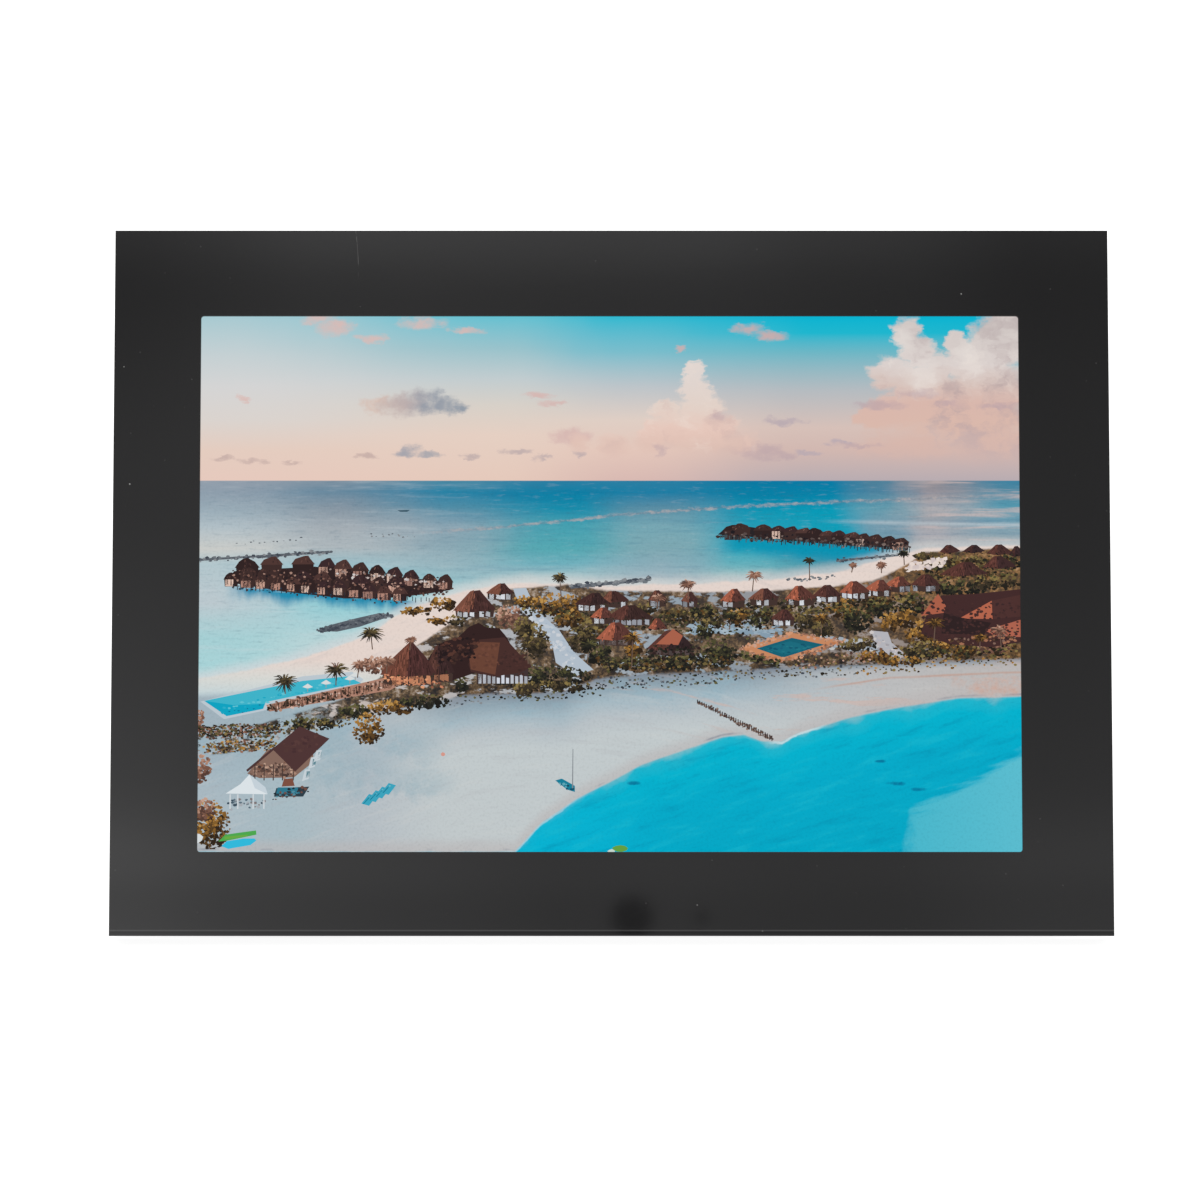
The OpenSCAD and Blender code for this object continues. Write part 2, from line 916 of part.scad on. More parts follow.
// Basket and magnet of one loudspeaker, which faces the rear grille
module speaker(x) {
    turned(x, speaker_z)
        polygon([
            [0, speaker_face - 8.4], [8.5, speaker_face - 8.4], [8.5, speaker_face - 4.6],
            [10.5, speaker_face - 4.6], [13, speaker_face - 1.2], [speaker_r, speaker_face - 1.2],
            [speaker_r, speaker_face], [12.6, speaker_face], [12.2, speaker_face - 1.2],
            [9.8, speaker_face - 4.2], [0, speaker_face - 4.2]
        ]);
}

module speaker_left() {
    color([0.2, 0.2, 0.21]) standing() speaker(-speaker_x);
}

module speaker_right() {
    color([0.2, 0.2, 0.21]) standing() speaker(speaker_x);
}

module speaker_cones() {
    color([0.3, 0.3, 0.32]) standing()
        for (sx = [-1, 1])
            turned(sx * speaker_x, speaker_z)
                polygon([
                    [0, speaker_face - 2.3], [3, speaker_face - 2.7], [4.5, speaker_face - 3.6],
                    [10.8, speaker_face - 0.9], [12.2, speaker_face - 0.5],
                    [12.2, speaker_face - 0.2], [10.6, speaker_face - 0.6],
                    [4.6, speaker_face - 3.2], [3.1, speaker_face - 2.3], [0, speaker_face - 1.9]
                ]);
}

module speaker_gaskets() {
    color([0.06, 0.06, 0.06]) standing()
        for (sx = [-1, 1])
            difference() {
                post(speaker_r, speaker_face + gap, speaker_back, sx * speaker_x, speaker_z);
                post(
                    speaker_gasket_in_r, speaker_face - 1, speaker_back + 1,
                    sx * speaker_x, speaker_z
                );
            }
}

// Twin wires that join the loudspeakers and rise to the rear side of the main board
module speaker_leads() {
    color([0.7, 0.12, 0.1]) standing()
        for (i = [0, 1]) {
            rise_x = lead_x - i * lead_pitch;
            low_z = lead_z - i * lead_pitch;
            rod(lead_r, rise_x, speaker_x, lead_y, low_z);
            translate([rise_x, lead_y, low_z])
                cylinder(r = lead_r, h = board_cz - board_h / 2 + 6 - low_z);
            translate([rise_x, lead_y, low_z])
                sphere(r = lead_r);
        }
}

// ---------------------------------------------------------------- buttons

module button_board() {
    color([0.05, 0.3, 0.18]) standing() difference() {
        slab(
            key_board_w, key_board_z1 - key_board_z0, key_board_y, key_board_back,
            button_x, (key_board_z0 + key_board_z1) / 2, 1
        );
        for (p = key_board_screw_spots)
            post(screw_pass_r, key_board_y - 1, key_board_back + 1, p[0], p[1]);
    }
}

module button_switches() {
    color([0.2, 0.2, 0.2]) standing()
        for (i = [0:button_count - 1]) {
            z = button_z + i * button_pitch;
            base = key_board_back + gap;
            slab(switch_w, switch_h, base, base + switch_t, button_x, z);
            post(switch_tip_r, base, switch_tip, button_x, z);
        }
}

// Flat ribbon from the button board across to the main board
module button_ribbon() {
    near = key_board_y - 0.1;
    far = board_y - 0.9;
    color([0.85, 0.85, 0.83]) standing()
        translate([0, 0, key_ribbon_z - key_ribbon_h / 2])
            linear_extrude(key_ribbon_h)
                polygon([
                    [button_x - 6, near], [button_x - 12, near], [60, far], [-50, far],
                    [-50, far - ribbon_t], [60, far - ribbon_t],
                    [button_x - 12, near - ribbon_t], [button_x - 6, near - ribbon_t]
                ]);
}

// Cap, flange and stem of button number i, counted upward
module button(i) {
    z = button_z + i * button_pitch;
    flange_y = back_in - gap - button_flange_t;
    color([0.16, 0.16, 0.16]) standing() {
        slab(button_w, button_h, flange_y, body_d + button_proud, button_x, z, button_h / 2 - eps);
        slab(
            button_w + 2 * button_flange_out, button_h + 2 * button_flange_out,
            flange_y, flange_y + button_flange_t, button_x, z, 1.5
        );
        post(button_stem_r, switch_tip + button_travel + gap, flange_y + eps, button_x, z);
    }
}

module power_button() {
    button(5);
}

module menu_button() {
    button(4);
}

module back_button() {
    button(3);
}

module left_button() {
    button(2);
}

module right_button() {
    button(1);
}

module play_button() {
    button(0);
}

// ---------------------------------------------------------------- rear cover

// Outline of the folded leg, seen from behind, grown by play on every side
module leg_outline(play) {
    top = hinge_z + heel + play;
    low = hinge_z - leg_len - 3;
    polygon([
        [-leg_w_foot / 2 - play, low], [leg_w_foot / 2 + play, low],
        [leg_w_top / 2 + play, taper_z], [leg_w_top / 2 + play, top],
        [-leg_w_top / 2 - play, top], [-leg_w_top / 2 - play, taper_z]
    ]);
}

// Round-ended upright slot
module slot_outline(x, z, r, rise) {
    translate([x, z])
        circle(r = r);
    translate([x - r, z])
        square([2 * r, rise]);
    translate([x, z + rise])
        circle(r = r);
}

// Rings of holes in front of each loudspeaker
module grille_holes() {
    for (sx = [-1, 1]) {
        post(grille_hole_r, back_in - 1, body_d + 1, sx * speaker_x, speaker_z);
        for (ring = [1:grille_rings], k = [0:6 * ring - 1])
            post(
                grille_hole_r, back_in - 1, body_d + 1,
                sx * speaker_x + grille_pitch * ring * cos(60 * k / ring),
                speaker_z + grille_pitch * ring * sin(60 * k / ring)
            );
    }
}

module vent_slots() {
    for (sx = [-1, 1], i = [0:vent_count - 1])
        slab(
            vent_w, vent_len, back_in - 1, body_d + 1,
            sx * (vent_x0 + i * vent_pitch), vent_z, vent_w / 2 - eps
        );
}

// Pedestal over one rubber foot
module pedestal(sx) {
    bar(sx * foot_x - foot_w / 2, sx * foot_x + foot_w / 2)
        polygon([
            [foot_y0, table_z(foot_y0) + foot_rise], [foot_y1, table_z(foot_y1) + foot_rise],
            [foot_y1, box_inset + 1], [foot_y0, box_inset + 1]
        ]);
}

// Walls around the leg's recess and the blocks that carry its pin
module recess_walls() {
    intersection() {
        union() {
            plate(recess_y - recess_wall, body_d)
                leg_outline(side_play + recess_wall);
            slab(
                leg_w_top + 2 * side_play + 2 * ear_w, ear_h, pocket_y - recess_wall, body_d,
                0, ear_z
            );
        }
        back_box(box_w, box_h, rim_plate_y, body_d, box_corner_r, box_edge_r);
    }
}

module recess_cut() {
    plate(recess_y, body_d + 1)
        leg_outline(side_play);
    slab(leg_w_top + 2 * side_play, pocket_h, pocket_y, body_d + 1, 0, pocket_z);
    rod(pin_r + 0.02, -pin_len / 2 - 0.2, pin_len / 2 + 0.2, hinge_y, hinge_z);
}

// Openings in the left-hand wall for the power inlet, the USB socket, the card and the reset pin
module port_cuts() {
    wall_x = box_left - 1;
    reach = cover_t + 1.5;
    rod(jack_r + 0.15, wall_x, jack_body_x + 0.2, jack_y, dc_z);
    translate([wall_x, usb_y - usb_t / 2 - loose, usb_z - usb_w / 2 - loose])
        cube([reach, usb_t + 2 * loose, usb_w + 2 * loose]);
    translate([wall_x, card_y - card_t / 2 - 0.1, card_z - card_mouth_w / 2])
        cube([reach, card_t + 0.2, card_mouth_w]);
    rod(reset_r, wall_x, wall_x + reach, card_y, reset_z);
}

// Keyhole seen from behind: a round entry and a narrower slot above it
module keyhole(sx, entry_r, slot_r, y0, y1) {
    post(entry_r, y0, y1, sx * hanger_x, hanger_z);
    plate(y0, y1)
        slot_outline(sx * hanger_x, hanger_z, slot_r, keyhole_rise);
}

// One moulding: rim plate, raised box, leg recess, vents, grilles, ports, keyholes and bosses
module rear_cover() {
    color([0.15, 0.15, 0.15]) standing() difference() {
        union() {
            difference() {
                union() {
                    slab(
                        frame_w - 2 * rim_wall - 2 * loose, frame_h - 2 * rim_wall - 2 * loose,
                        rim_plate_y, rim_d
                    );
                    back_box(box_w, box_h, rim_plate_y, body_d, box_corner_r, box_edge_r);
                    pedestal(-1);
                    pedestal(1);
                }
                back_box(
                    cavity_w, cavity_h, rim_plate_y - 1, back_in,
                    box_corner_r - cover_t, box_edge_r - cover_t
                );
            }
            recess_walls();
            for (p = board_screw_spots)
                post(boss_r, board_back + gap, back_in + eps, p[0], p[1]);
            for (p = key_board_screw_spots)
                post(small_boss_r, key_board_back + gap, back_in + eps, p[0], p[1]);
            for (sx = [-1, 1], dz = rivet_dz)
                post(rivet_r, hanger_front - 0.55, back_in + eps, sx * hanger_x, hanger_z + dz);
        }
        recess_cut();
        for (p = rim_screw_spots)
            post(screw_pass_r, rim_plate_y - 1, rim_d + 1, p[0], p[1]);
        for (p = board_screw_spots)
            post(screw_hole_r, board_back - 1, board_back + 6, p[0], p[1]);
        for (p = key_board_screw_spots)
            post(screw_hole_r, key_board_back - 1, key_board_back + 4, p[0], p[1]);
        for (i = [0:button_count - 1])
            slab(
                button_w + 2 * button_play, button_h + 2 * button_play, back_in - 1, body_d + 1,
                button_x, button_z + i * button_pitch, button_h / 2 + button_play - eps
            );
        for (sx = [-1, 1])
            keyhole(
                sx, keyhole_r + keyhole_play, keyhole_slot_r + keyhole_play,
                back_in - 1, body_d + 1
            );
        grille_holes();
        vent_slots();
        port_cuts();
    }
}

module rear_cover_screws() {
    color([0.25, 0.25, 0.26]) standing()
        for (p = rim_screw_spots)
            screw(p[0], p[1], rim_d, 5.4);
}

// Steel keyhole plates behind the rear cover; the rim of each round entry is drawn out through it
module hanger_plates() {
    color([0.75, 0.75, 0.77]) standing()
        for (sx = [-1, 1])
            difference() {
                union() {
                    slab(
                        hanger_w, hanger_h, hanger_front, hanger_front + hanger_t,
                        sx * hanger_x, hanger_z + hanger_rise, 2
                    );
                    post(
                        keyhole_r + keyhole_rim_t, hanger_front, keyhole_rim_end,
                        sx * hanger_x, hanger_z
                    );
                }
                keyhole(sx, keyhole_r, keyhole_slot_r, hanger_front - 1, body_d);
                for (dz = rivet_dz)
                    post(rivet_r + 0.1, hanger_front - 1, back_in, sx * hanger_x, hanger_z + dz);
            }
}

// ---------------------------------------------------------------- stand

// Turns the folded leg about its pin to where it stands open
module opened() {
    translate([0, hinge_y, hinge_z])
        rotate([leg_open, 0, 0])
            translate([0, -hinge_y, -hinge_z])
                children();
}

// Side view of the leg's end: a strip from depth v0 to v1 behind the pin, between two lengths
// measured back from the table
module leg_end(v0, v1, far, near) {
    polygon([
        for (c = [[v0, far], [v1, far], [v1, near], [v0, near]])
            [hinge_y + c[0], hinge_z - leg_len - c[0] * tan(leg_slant) + c[1]]
    ]);
}

module stand_leg() {
    side_y = hinge_y + leg_out + 1;
    color([0.15, 0.15, 0.15]) standing() opened() difference() {
        union() {
            intersection() {
                plate(body_d - leg_t, body_d)
                    leg_outline(0);
                bar(-leg_w_top, leg_w_top)
                    polygon([
                        [0, hinge_z + heel],
                        [side_y, hinge_z + heel],
                        [side_y, hinge_z - leg_len - (leg_out + 1) * tan(leg_slant) + pad_top],
                        [0, hinge_z - leg_len + hinge_y * tan(leg_slant) + pad_top]
                    ]);
            }
            rod(knuckle_r, -leg_w_top / 2, leg_w_top / 2, hinge_y, hinge_z);
            bar(-tongue_w / 2, tongue_w / 2)
                leg_end(tongue_y, tongue_y + tongue_t, pad_top - tongue_len, pad_top + 1);
        }
        rod(pin_r + leg_play, -leg_w_top, leg_w_top, hinge_y, hinge_z);
        plate(body_d - groove_t, body_d + 1)
            polygon([
                [groove_in - leg_w_foot / 2, groove_z0], [leg_w_foot / 2 - groove_in, groove_z0],
                [leg_w_top / 2 - groove_top_in, groove_z1],
                [groove_top_in - leg_w_top / 2, groove_z1]
            ]);
    }
}

// Rubber boot at the end of the leg, cut to lie flat on the table
module stand_foot_pad() {
    half = leg_w_foot / 2 - 1;
    color([0.07, 0.07, 0.07]) standing() opened() difference() {
        bar(-half, half)
            leg_end(-leg_in, leg_out, 0, pad_top - gap);
        bar(-tongue_w / 2 - gap, tongue_w / 2 + gap)
            leg_end(
                tongue_y - gap, tongue_y + tongue_t + gap, pad_top - tongue_len - gap, pad_top + 1
            );
    }
}

module stand_hinge_pin() {
    color([0.8, 0.8, 0.82]) standing()
        rod(pin_r, -pin_len / 2, pin_len / 2, hinge_y, hinge_z);
}

module hinge_washers() {
    color([0.85, 0.82, 0.7]) standing()
        for (sx = [-1, 1])
            difference() {
                rod(
                    washer_r, sx * (leg_w_top + side_play) / 2 - washer_t / 2,
                    sx * (leg_w_top + side_play) / 2 + washer_t / 2, hinge_y, hinge_z
                );
                rod(pin_r + 0.03, -leg_w_top, leg_w_top, hinge_y, hinge_z);
            }
}

// Rubber soles under the rear cover's pedestals, level with the table
module bottom_feet() {
    color([0.07, 0.07, 0.07]) standing()
        for (sx = [-1, 1])
            bar(sx * foot_x - foot_w / 2, sx * foot_x + foot_w / 2)
                polygon([
                    [foot_y0, table_z(foot_y0)], [foot_y1, table_z(foot_y1)],
                    [foot_y1, table_z(foot_y1) + foot_rise],
                    [foot_y0, table_z(foot_y0) + foot_rise]
                ]);
}

// ---------------------------------------------------------------- pieces

front_frame();
panel_gasket();
panel_bezel();
screen_polariser();
panel_glass();
panel_frame();
diffuser_sheet();
prism_sheet();
light_guide();
reflector_sheet();
led_strip();
backlight_leds();
backlight_tray();
driver_board();
driver_flex();
panel_brackets();
bracket_screws();
insulation_sheet();
panel_ribbon();
ribbon_connector();
main_board();
main_processor();
heat_sink();
memory_chips();
wifi_module();
wifi_antenna();
board_capacitors();
power_inductors();
chip_parts();
battery_holder();
clock_battery();
board_screws();
dc_jack();
dc_contact();
usb_socket();
usb_tongue();
card_socket();
speaker_left();
speaker_right();
speaker_cones();
speaker_gaskets();
speaker_leads();
button_board();
button_switches();
button_ribbon();
power_button();
menu_button();
back_button();
left_button();
right_button();
play_button();
rear_cover();
rear_cover_screws();
hanger_plates();
stand_leg();
stand_hinge_pin();
hinge_washers();
stand_foot_pad();
bottom_feet();
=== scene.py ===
"""Looks of the digital photo frame: surfaces, the lit picture, key symbols, camera, floor and light.

Lengths are millimetres on the frame unless a name says otherwise. A point on the frame is given as
x to the right of its middle, y behind its face and z up its face from the lower edge, and at() turns
that into the leaning frame's real place. A point on the picture is x to the right and y up from the
picture's lower left corner.
"""
import json
import math
import random

import bpy
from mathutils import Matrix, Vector


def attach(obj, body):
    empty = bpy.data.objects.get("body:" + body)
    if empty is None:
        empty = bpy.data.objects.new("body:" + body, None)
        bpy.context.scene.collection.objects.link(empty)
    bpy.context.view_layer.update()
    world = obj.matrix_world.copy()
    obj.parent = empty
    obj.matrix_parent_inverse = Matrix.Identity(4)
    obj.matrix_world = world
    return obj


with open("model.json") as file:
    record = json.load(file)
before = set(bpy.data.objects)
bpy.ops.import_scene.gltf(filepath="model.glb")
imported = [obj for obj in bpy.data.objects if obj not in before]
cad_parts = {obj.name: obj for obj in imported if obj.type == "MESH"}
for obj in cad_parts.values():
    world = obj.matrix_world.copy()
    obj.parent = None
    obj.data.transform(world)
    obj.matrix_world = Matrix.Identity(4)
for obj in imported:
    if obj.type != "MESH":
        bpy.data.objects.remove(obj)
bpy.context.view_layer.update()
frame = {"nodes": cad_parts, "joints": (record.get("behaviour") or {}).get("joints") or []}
nodes = frame["nodes"]
MM = 0.001
rng = random.Random(7)

# ------------------------------------------------------------------ directions on the leaning frame

press = next(j for j in frame["joints"] if j["name"] == "power_press")
BACK = -Vector(press["axis"]).normalized()
RIGHT = Vector((1, 0, 0))
UP = RIGHT.cross(BACK)


def extent(node):
    """Lowest and highest x, y and z of a CAD node along the frame's own directions, in mm."""
    spots = [v.co / MM for v in nodes[node].data.vertices]
    rows = [[p.dot(d) for p in spots] for d in (RIGHT, BACK, UP)]
    return Vector([min(r) for r in rows]), Vector([max(r) for r in rows])


face_lo, face_hi = extent("front_frame")


def at(x, y, z):
    """Real place, in metres, of a point of the frame."""
    return (RIGHT * x + BACK * (face_lo.y + y) + UP * (face_lo.z + z)) * MM


def local(node):
    """A CAD node's lowest and highest corners, measured from the middle of the face's lower edge."""
    lo, hi = extent(node)
    base = Vector((0, face_lo.y, face_lo.z))
    return lo - base, hi - base


FACE_H = face_hi.z - face_lo.z

# ------------------------------------------------------------------ small tools for materials


def linear(r, g, b):
    """Screen colour, 0 to 255, as the linear colour that shaders use."""
    def part(c):
        c /= 255
        return c / 12.92 if c <= 0.04045 else ((c + 0.055) / 1.055) ** 2.4
    return (part(r), part(g), part(b), 1)


class Value:
    """A number or colour that a material works out at each point, with ordinary arithmetic."""

    def __init__(self, tree, socket):
        self.tree = tree
        self.socket = socket

    def math(self, operation, *others):
        """Result of one of Blender's math operations on this and others."""
        node = self.tree.nodes.new("ShaderNodeMath")
        node.operation = operation
        for i, item in enumerate((self, *others)):
            plug(self.tree, node.inputs[i], item)
        return Value(self.tree, node.outputs[0])

    def __add__(self, other):
        return self.math("ADD", other)

    def __sub__(self, other):
        return self.math("SUBTRACT", other)

    def __mul__(self, other):
        return self.math("MULTIPLY", other)

    def flipped(self):
        """One minus this."""
        return (self * -1) + 1

    def step(self, low, high):
        """Soft step: 0 on low's side and 1 on high's, also when low is above high."""
        node = self.tree.nodes.new("ShaderNodeMapRange")
        node.interpolation_type = "SMOOTHSTEP"
        plug(self.tree, node.inputs["Value"], self)
        node.inputs["From Min"].default_value = low
        node.inputs["From Max"].default_value = high
        return Value(self.tree, node.outputs["Result"])

    def near(self, reach, soft):
        """1 where this is nearer to 0 than reach, fading out over the last of it."""
        return (self.math("ABSOLUTE") * -1 + reach).step(0, soft)

    def ramp(self, stops):
        """Colour or number along this value: stops are (where, colour or number)."""
        low, high = stops[0][0], stops[-1][0]
        node = self.tree.nodes.new("ShaderNodeValToRGB")
        while len(node.color_ramp.elements) < len(stops):
            node.color_ramp.elements.new(0.5)
        for element, (where, what) in zip(node.color_ramp.elements, stops):
            element.position = (where - low) / (high - low)
        for element, (where, what) in zip(node.color_ramp.elements, stops):
            element.color = what if isinstance(what, tuple) else (what, what, what, 1)
        plug(self.tree, node.inputs["Fac"], (self - low) * (1 / (high - low)))
        return Value(self.tree, node.outputs["Color"])

    def over(self, below, amount):
        """This colour laid over another by an amount from 0 to 1."""
        node = self.tree.nodes.new("ShaderNodeMix")
        node.data_type = "RGBA"
        plug(self.tree, node.inputs["Factor"], amount)
        plug(self.tree, node.inputs[6], below)
        plug(self.tree, node.inputs[7], self)
        return Value(self.tree, node.outputs[2])


def plug(tree, socket, item):
    """Feeds a socket with a Value, or sets it to a plain number or colour."""
    if isinstance(item, Value):
        tree.links.new(item.socket, socket)
    else:
        socket.default_value = item


class Surface:
    """One material with a Principled shader, and the points and noises that its nodes read."""

    def __init__(self, name, roughness, metallic=0.0, **sockets):
        self.material = bpy.data.materials.new(name)
        self.material.use_nodes = True
        self.tree = self.material.node_tree
        self.shader = self.tree.nodes["Principled BSDF"]
        self.shader.inputs["Roughness"].default_value = roughness
        self.shader.inputs["Metallic"].default_value = metallic
        for socket, value in sockets.items():
            self.shader.inputs[socket.replace("_", " ")].default_value = value
        coordinates = self.tree.nodes.new("ShaderNodeTexCoord")
        self.place = Value(self.tree, coordinates.outputs["Object"])
        self.chart = Value(self.tree, coordinates.outputs["UV"])

    def plain(self, colour):
        """The same colour everywhere, as a Value."""
        node = self.tree.nodes.new("ShaderNodeRGB")
        node.outputs[0].default_value = colour
        return Value(self.tree, node.outputs[0])

    def tone(self, *screen):
        """The same screen colour everywhere, as a Value."""
        return self.plain(linear(*screen))

    def set(self, socket, item):
        """Feeds one of the shader's sockets."""
        plug(self.tree, self.shader.inputs[socket], item)

    def axis(self, place, number):
        """One coordinate of a place."""
        node = self.tree.nodes.new("ShaderNodeSeparateXYZ")
        plug(self.tree, node.inputs[0], place)
        return Value(self.tree, node.outputs[number])

    def join(self, x, y, z=0.0):
        """Place with these coordinates."""
        node = self.tree.nodes.new("ShaderNodeCombineXYZ")
        for socket, item in zip(node.inputs, (x, y, z)):
            plug(self.tree, socket, item)
        return Value(self.tree, node.outputs[0])

    def noise(self, size_mm, detail, rough=0.5, place=None):
        """Soft noise about 0.5 whose lumps are about size_mm across."""
        node = self.tree.nodes.new("ShaderNodeTexNoise")
        plug(self.tree, node.inputs["Vector"], place or self.place)
        node.inputs["Scale"].default_value = 1 / (size_mm * MM)
        node.inputs["Detail"].default_value = detail
        node.inputs["Roughness"].default_value = rough
        return Value(self.tree, node.outputs["Fac"])

    def weave(self, size_mm, detail, rough, x, y, slice_at):
        """Noise over picture points in mm; another slice_at gives another pattern."""
        return self.noise(size_mm, detail, rough, self.join(x * MM, y * MM, slice_at))

    def cells(self, size_mm):
        """Distance from the nearest of many scattered points, in cell sizes."""
        node = self.tree.nodes.new("ShaderNodeTexVoronoi")
        plug(self.tree, node.inputs["Vector"], self.place)
        node.inputs["Scale"].default_value = 1 / (size_mm * MM)
        return Value(self.tree, node.outputs["Distance"])

    def bump(self, height, strength, distance_mm):
        """Raises the surface by a height from 0 to 1."""
        node = self.tree.nodes.new("ShaderNodeBump")
        node.inputs["Strength"].default_value = strength
        node.inputs["Distance"].default_value = distance_mm * MM
        plug(self.tree, node.inputs["Height"], height)
        self.tree.links.new(node.outputs[0], self.shader.inputs["Normal"])


def shade(node, surface):
    """Gives a CAD node its material."""
    slots = nodes[node].data.materials
    slots.clear()
    slots.append(surface.material)


# ------------------------------------------------------------------ plastics, rubber and metals


def satin_face():
    """Smooth satin black of the face, with fine grain, a little dust, one faint hair scratch, and a painted
    highlight line over a painted shade line along its lower edge.
    """
    s = Surface("satin_face", 0.1, Specular_IOR_Level=0.42)
    grain = s.noise(0.35, 3)
    cloud = s.noise(38, 2)
    shade_of = (grain - 0.5) * 0.0035 + (cloud - 0.5) * 0.0025
    base = s.tone(24, 24, 25)
    light = s.tone(34, 33, 33)
    colour = light.over(base, shade_of * 40 + 0.3)
    speck = (s.cells(11) * -1 + 0.022).step(0, 0.006) * (s.noise(60, 1) - 0.44).step(0, 0.1)
    colour = s.tone(150, 150, 148).over(colour, speck * 0.7)
    dust = (s.cells(4.6) * -1 + 0.05).step(0, 0.03) * (s.noise(22, 2) - 0.42).step(0, 0.12)
    colour = s.tone(120, 120, 118).over(colour, dust * 0.2)
    # the scratch is part of a large circle that crosses the upper strip of the face
    x = s.axis(s.place, 0)
    z = s.axis(s.place, 2)
    middle = at(-150, 0, FACE_H - 12)
    dx = x - middle.x
    dz = z - middle.z
    circle = (dx * dx + dz * dz).math("SQRT") - 83.5 * MM
    line = circle.near(0.00011, 0.00007)
    line = line * (z - at(0, 0, FACE_H - 13).z).step(0, 0.003) * (s.noise(2.5, 2) - 0.35).step(0, 0.2)
    colour = s.tone(120, 118, 116).over(colour, line * 0.32)
    # painted highlight and shade: a fine pale line where the rim's lower edge catches the light, above a
    # painted dark shade line nearer the edge
    for up, tone, strength in ((1.45, (78, 78, 78), 0.5), (0.85, (4, 4, 4), 0.9)):
        edge = (z - at(0, 0, up).z).near(0.00024, 0.0002)
        colour = s.tone(*tone).over(colour, edge * strength)
    s.set("Base Color", colour)
    s.set("Roughness", (grain - 0.5) * 0.04 + (cloud - 0.5) * 0.02 + 0.046)
    s.bump(grain + s.noise(1.6, 2) * 1.5, 0.02, 0.02)
    return s


def moulded_black():
    """Spark-textured black plastic of the rear cover and leg."""
    s = Surface("moulded_black", 0.5, Specular_IOR_Level=0.45)
    sparks = s.noise(0.5, 4, 0.65)
    wide = s.noise(30, 3)
    base = s.tone(38, 38, 39)
    worn = s.tone(52, 51, 51)
    s.set("Base Color", worn.over(base, (sparks - 0.35) * 0.9 + (wide - 0.5) * 0.35))
    s.set("Roughness", (sparks - 0.5) * 0.35 + (wide - 0.5) * 0.12 + 0.52)
    s.bump(sparks, 0.42, 0.12)
    return s


def key_black():
    """Finer, softer black of the key caps, a little polished by fingers."""
    s = Surface("key_black", 0.4)
    fine = s.noise(0.3, 3)
    s.set("Base Color", s.tone(58, 58, 60).over(s.tone(44, 44, 46), fine))
    s.set("Roughness", (s.noise(3, 2) - 0.5) * 0.3 + 0.4)
    s.bump(fine, 0.15, 0.05)
    return s


def soft_rubber(name="soft_rubber", grey=30):
    """Dull rubber with fine dust in its pores."""
    s = Surface(name, 0.85, Specular_IOR_Level=0.25)
    pores = s.noise(0.25, 4, 0.7)
    base = s.tone(grey, grey, grey)
    dust = s.tone(grey + 34, grey + 33, grey + 31)
    s.set("Base Color", dust.over(base, (pores - 0.42) * 0.9 + (s.noise(6, 3) - 0.5) * 0.5))
    s.set("Roughness", pores * 0.2 + 0.72)
    s.bump(pores, 0.5, 0.12)
    return s


def metal(name, tint, roughness=0.3, grain_mm=0.4, stretch=(1, 1, 8)):
    """Sheet or turned metal with brush lines drawn out along one direction."""
    s = Surface(name, roughness, 1.0)
    node = s.tree.nodes.new("ShaderNodeMapping")
    node.inputs["Scale"].default_value = stretch
    plug(s.tree, node.inputs["Vector"], s.place)
    lines = s.noise(grain_mm, 4, 0.6, Value(s.tree, node.outputs[0]))
    stain = s.noise(7, 3)
    dark = s.tone(*[c * 0.78 for c in tint])
    s.set("Base Color", s.tone(*tint).over(dark, lines * 0.8 + stain * 0.4))
    s.set("Roughness", (lines - 0.5) * 0.3 + (stain - 0.5) * 0.2 + roughness)
    s.bump(lines, 0.2, 0.03)
    return s


def black_oxide():
    """Blackened screw steel, worn bright on the rims of the recess."""
    s = Surface("black_oxide", 0.35, 0.85)
    wear = s.noise(0.6, 4, 0.7)
    stain = s.noise(2.4, 2)
    dark = s.tone(46, 46, 49)
    bright = s.tone(120, 118, 115)
    s.set("Base Color", bright.over(dark, (wear * 0.7 + stain * 0.5 - 0.62).step(0, 0.16) * 0.7))
    s.set("Roughness", wear * 0.3 + 0.22)
    s.bump(wear, 0.2, 0.04)
    return s


def tinted(name, colour, second, size_mm, roughness, spread=0.15, **sockets):
    """Plain moulded, printed or cast stuff: two tones mixed by noise, with uneven gloss."""
    s = Surface(name, roughness, **sockets)
    fine = s.noise(size_mm, 4, 0.6)
    wide = s.noise(size_mm * 14, 2)
    mixed = s.tone(*second).over(s.tone(*colour), fine * 0.7 + (wide - 0.5) * 0.6)
    s.set("Base Color", mixed)
    s.set("Roughness", (fine - 0.5) * spread * 2 + roughness)
    s.bump(fine, 0.15, 0.04)
    return s


def circuit_board():
    """Green lacquer over copper tracks, which run along a fine square grid."""
    s = Surface("circuit_board", 0.25, Coat_Weight=0.5, Coat_Roughness=0.12)
    x = s.axis(s.place, 0)
    z = s.axis(s.place, 2)
    tracks = []
    for run, across in ((x, z), (z, x)):
        lane = (across * (1 / (1.1 * MM))).math("FRACT")
        edge = (lane - 0.5).near(0.2, 0.08)
        cut = (s.noise(5, 0, 0.5, s.join(run, across * 9)) - 0.52).step(0, 0.04)
        tracks.append(edge * cut)
    copper = (tracks[0] + tracks[1]).math("MINIMUM", 1.0)
    green = s.tone(16, 74, 44)
    track = s.tone(52, 118, 62)
    s.set("Base Color", track.over(green, copper * 0.8))
    s.set("Roughness", s.noise(3, 3) * 0.2 + 0.2)
    s.bump(copper, 0.3, 0.05)
    return s


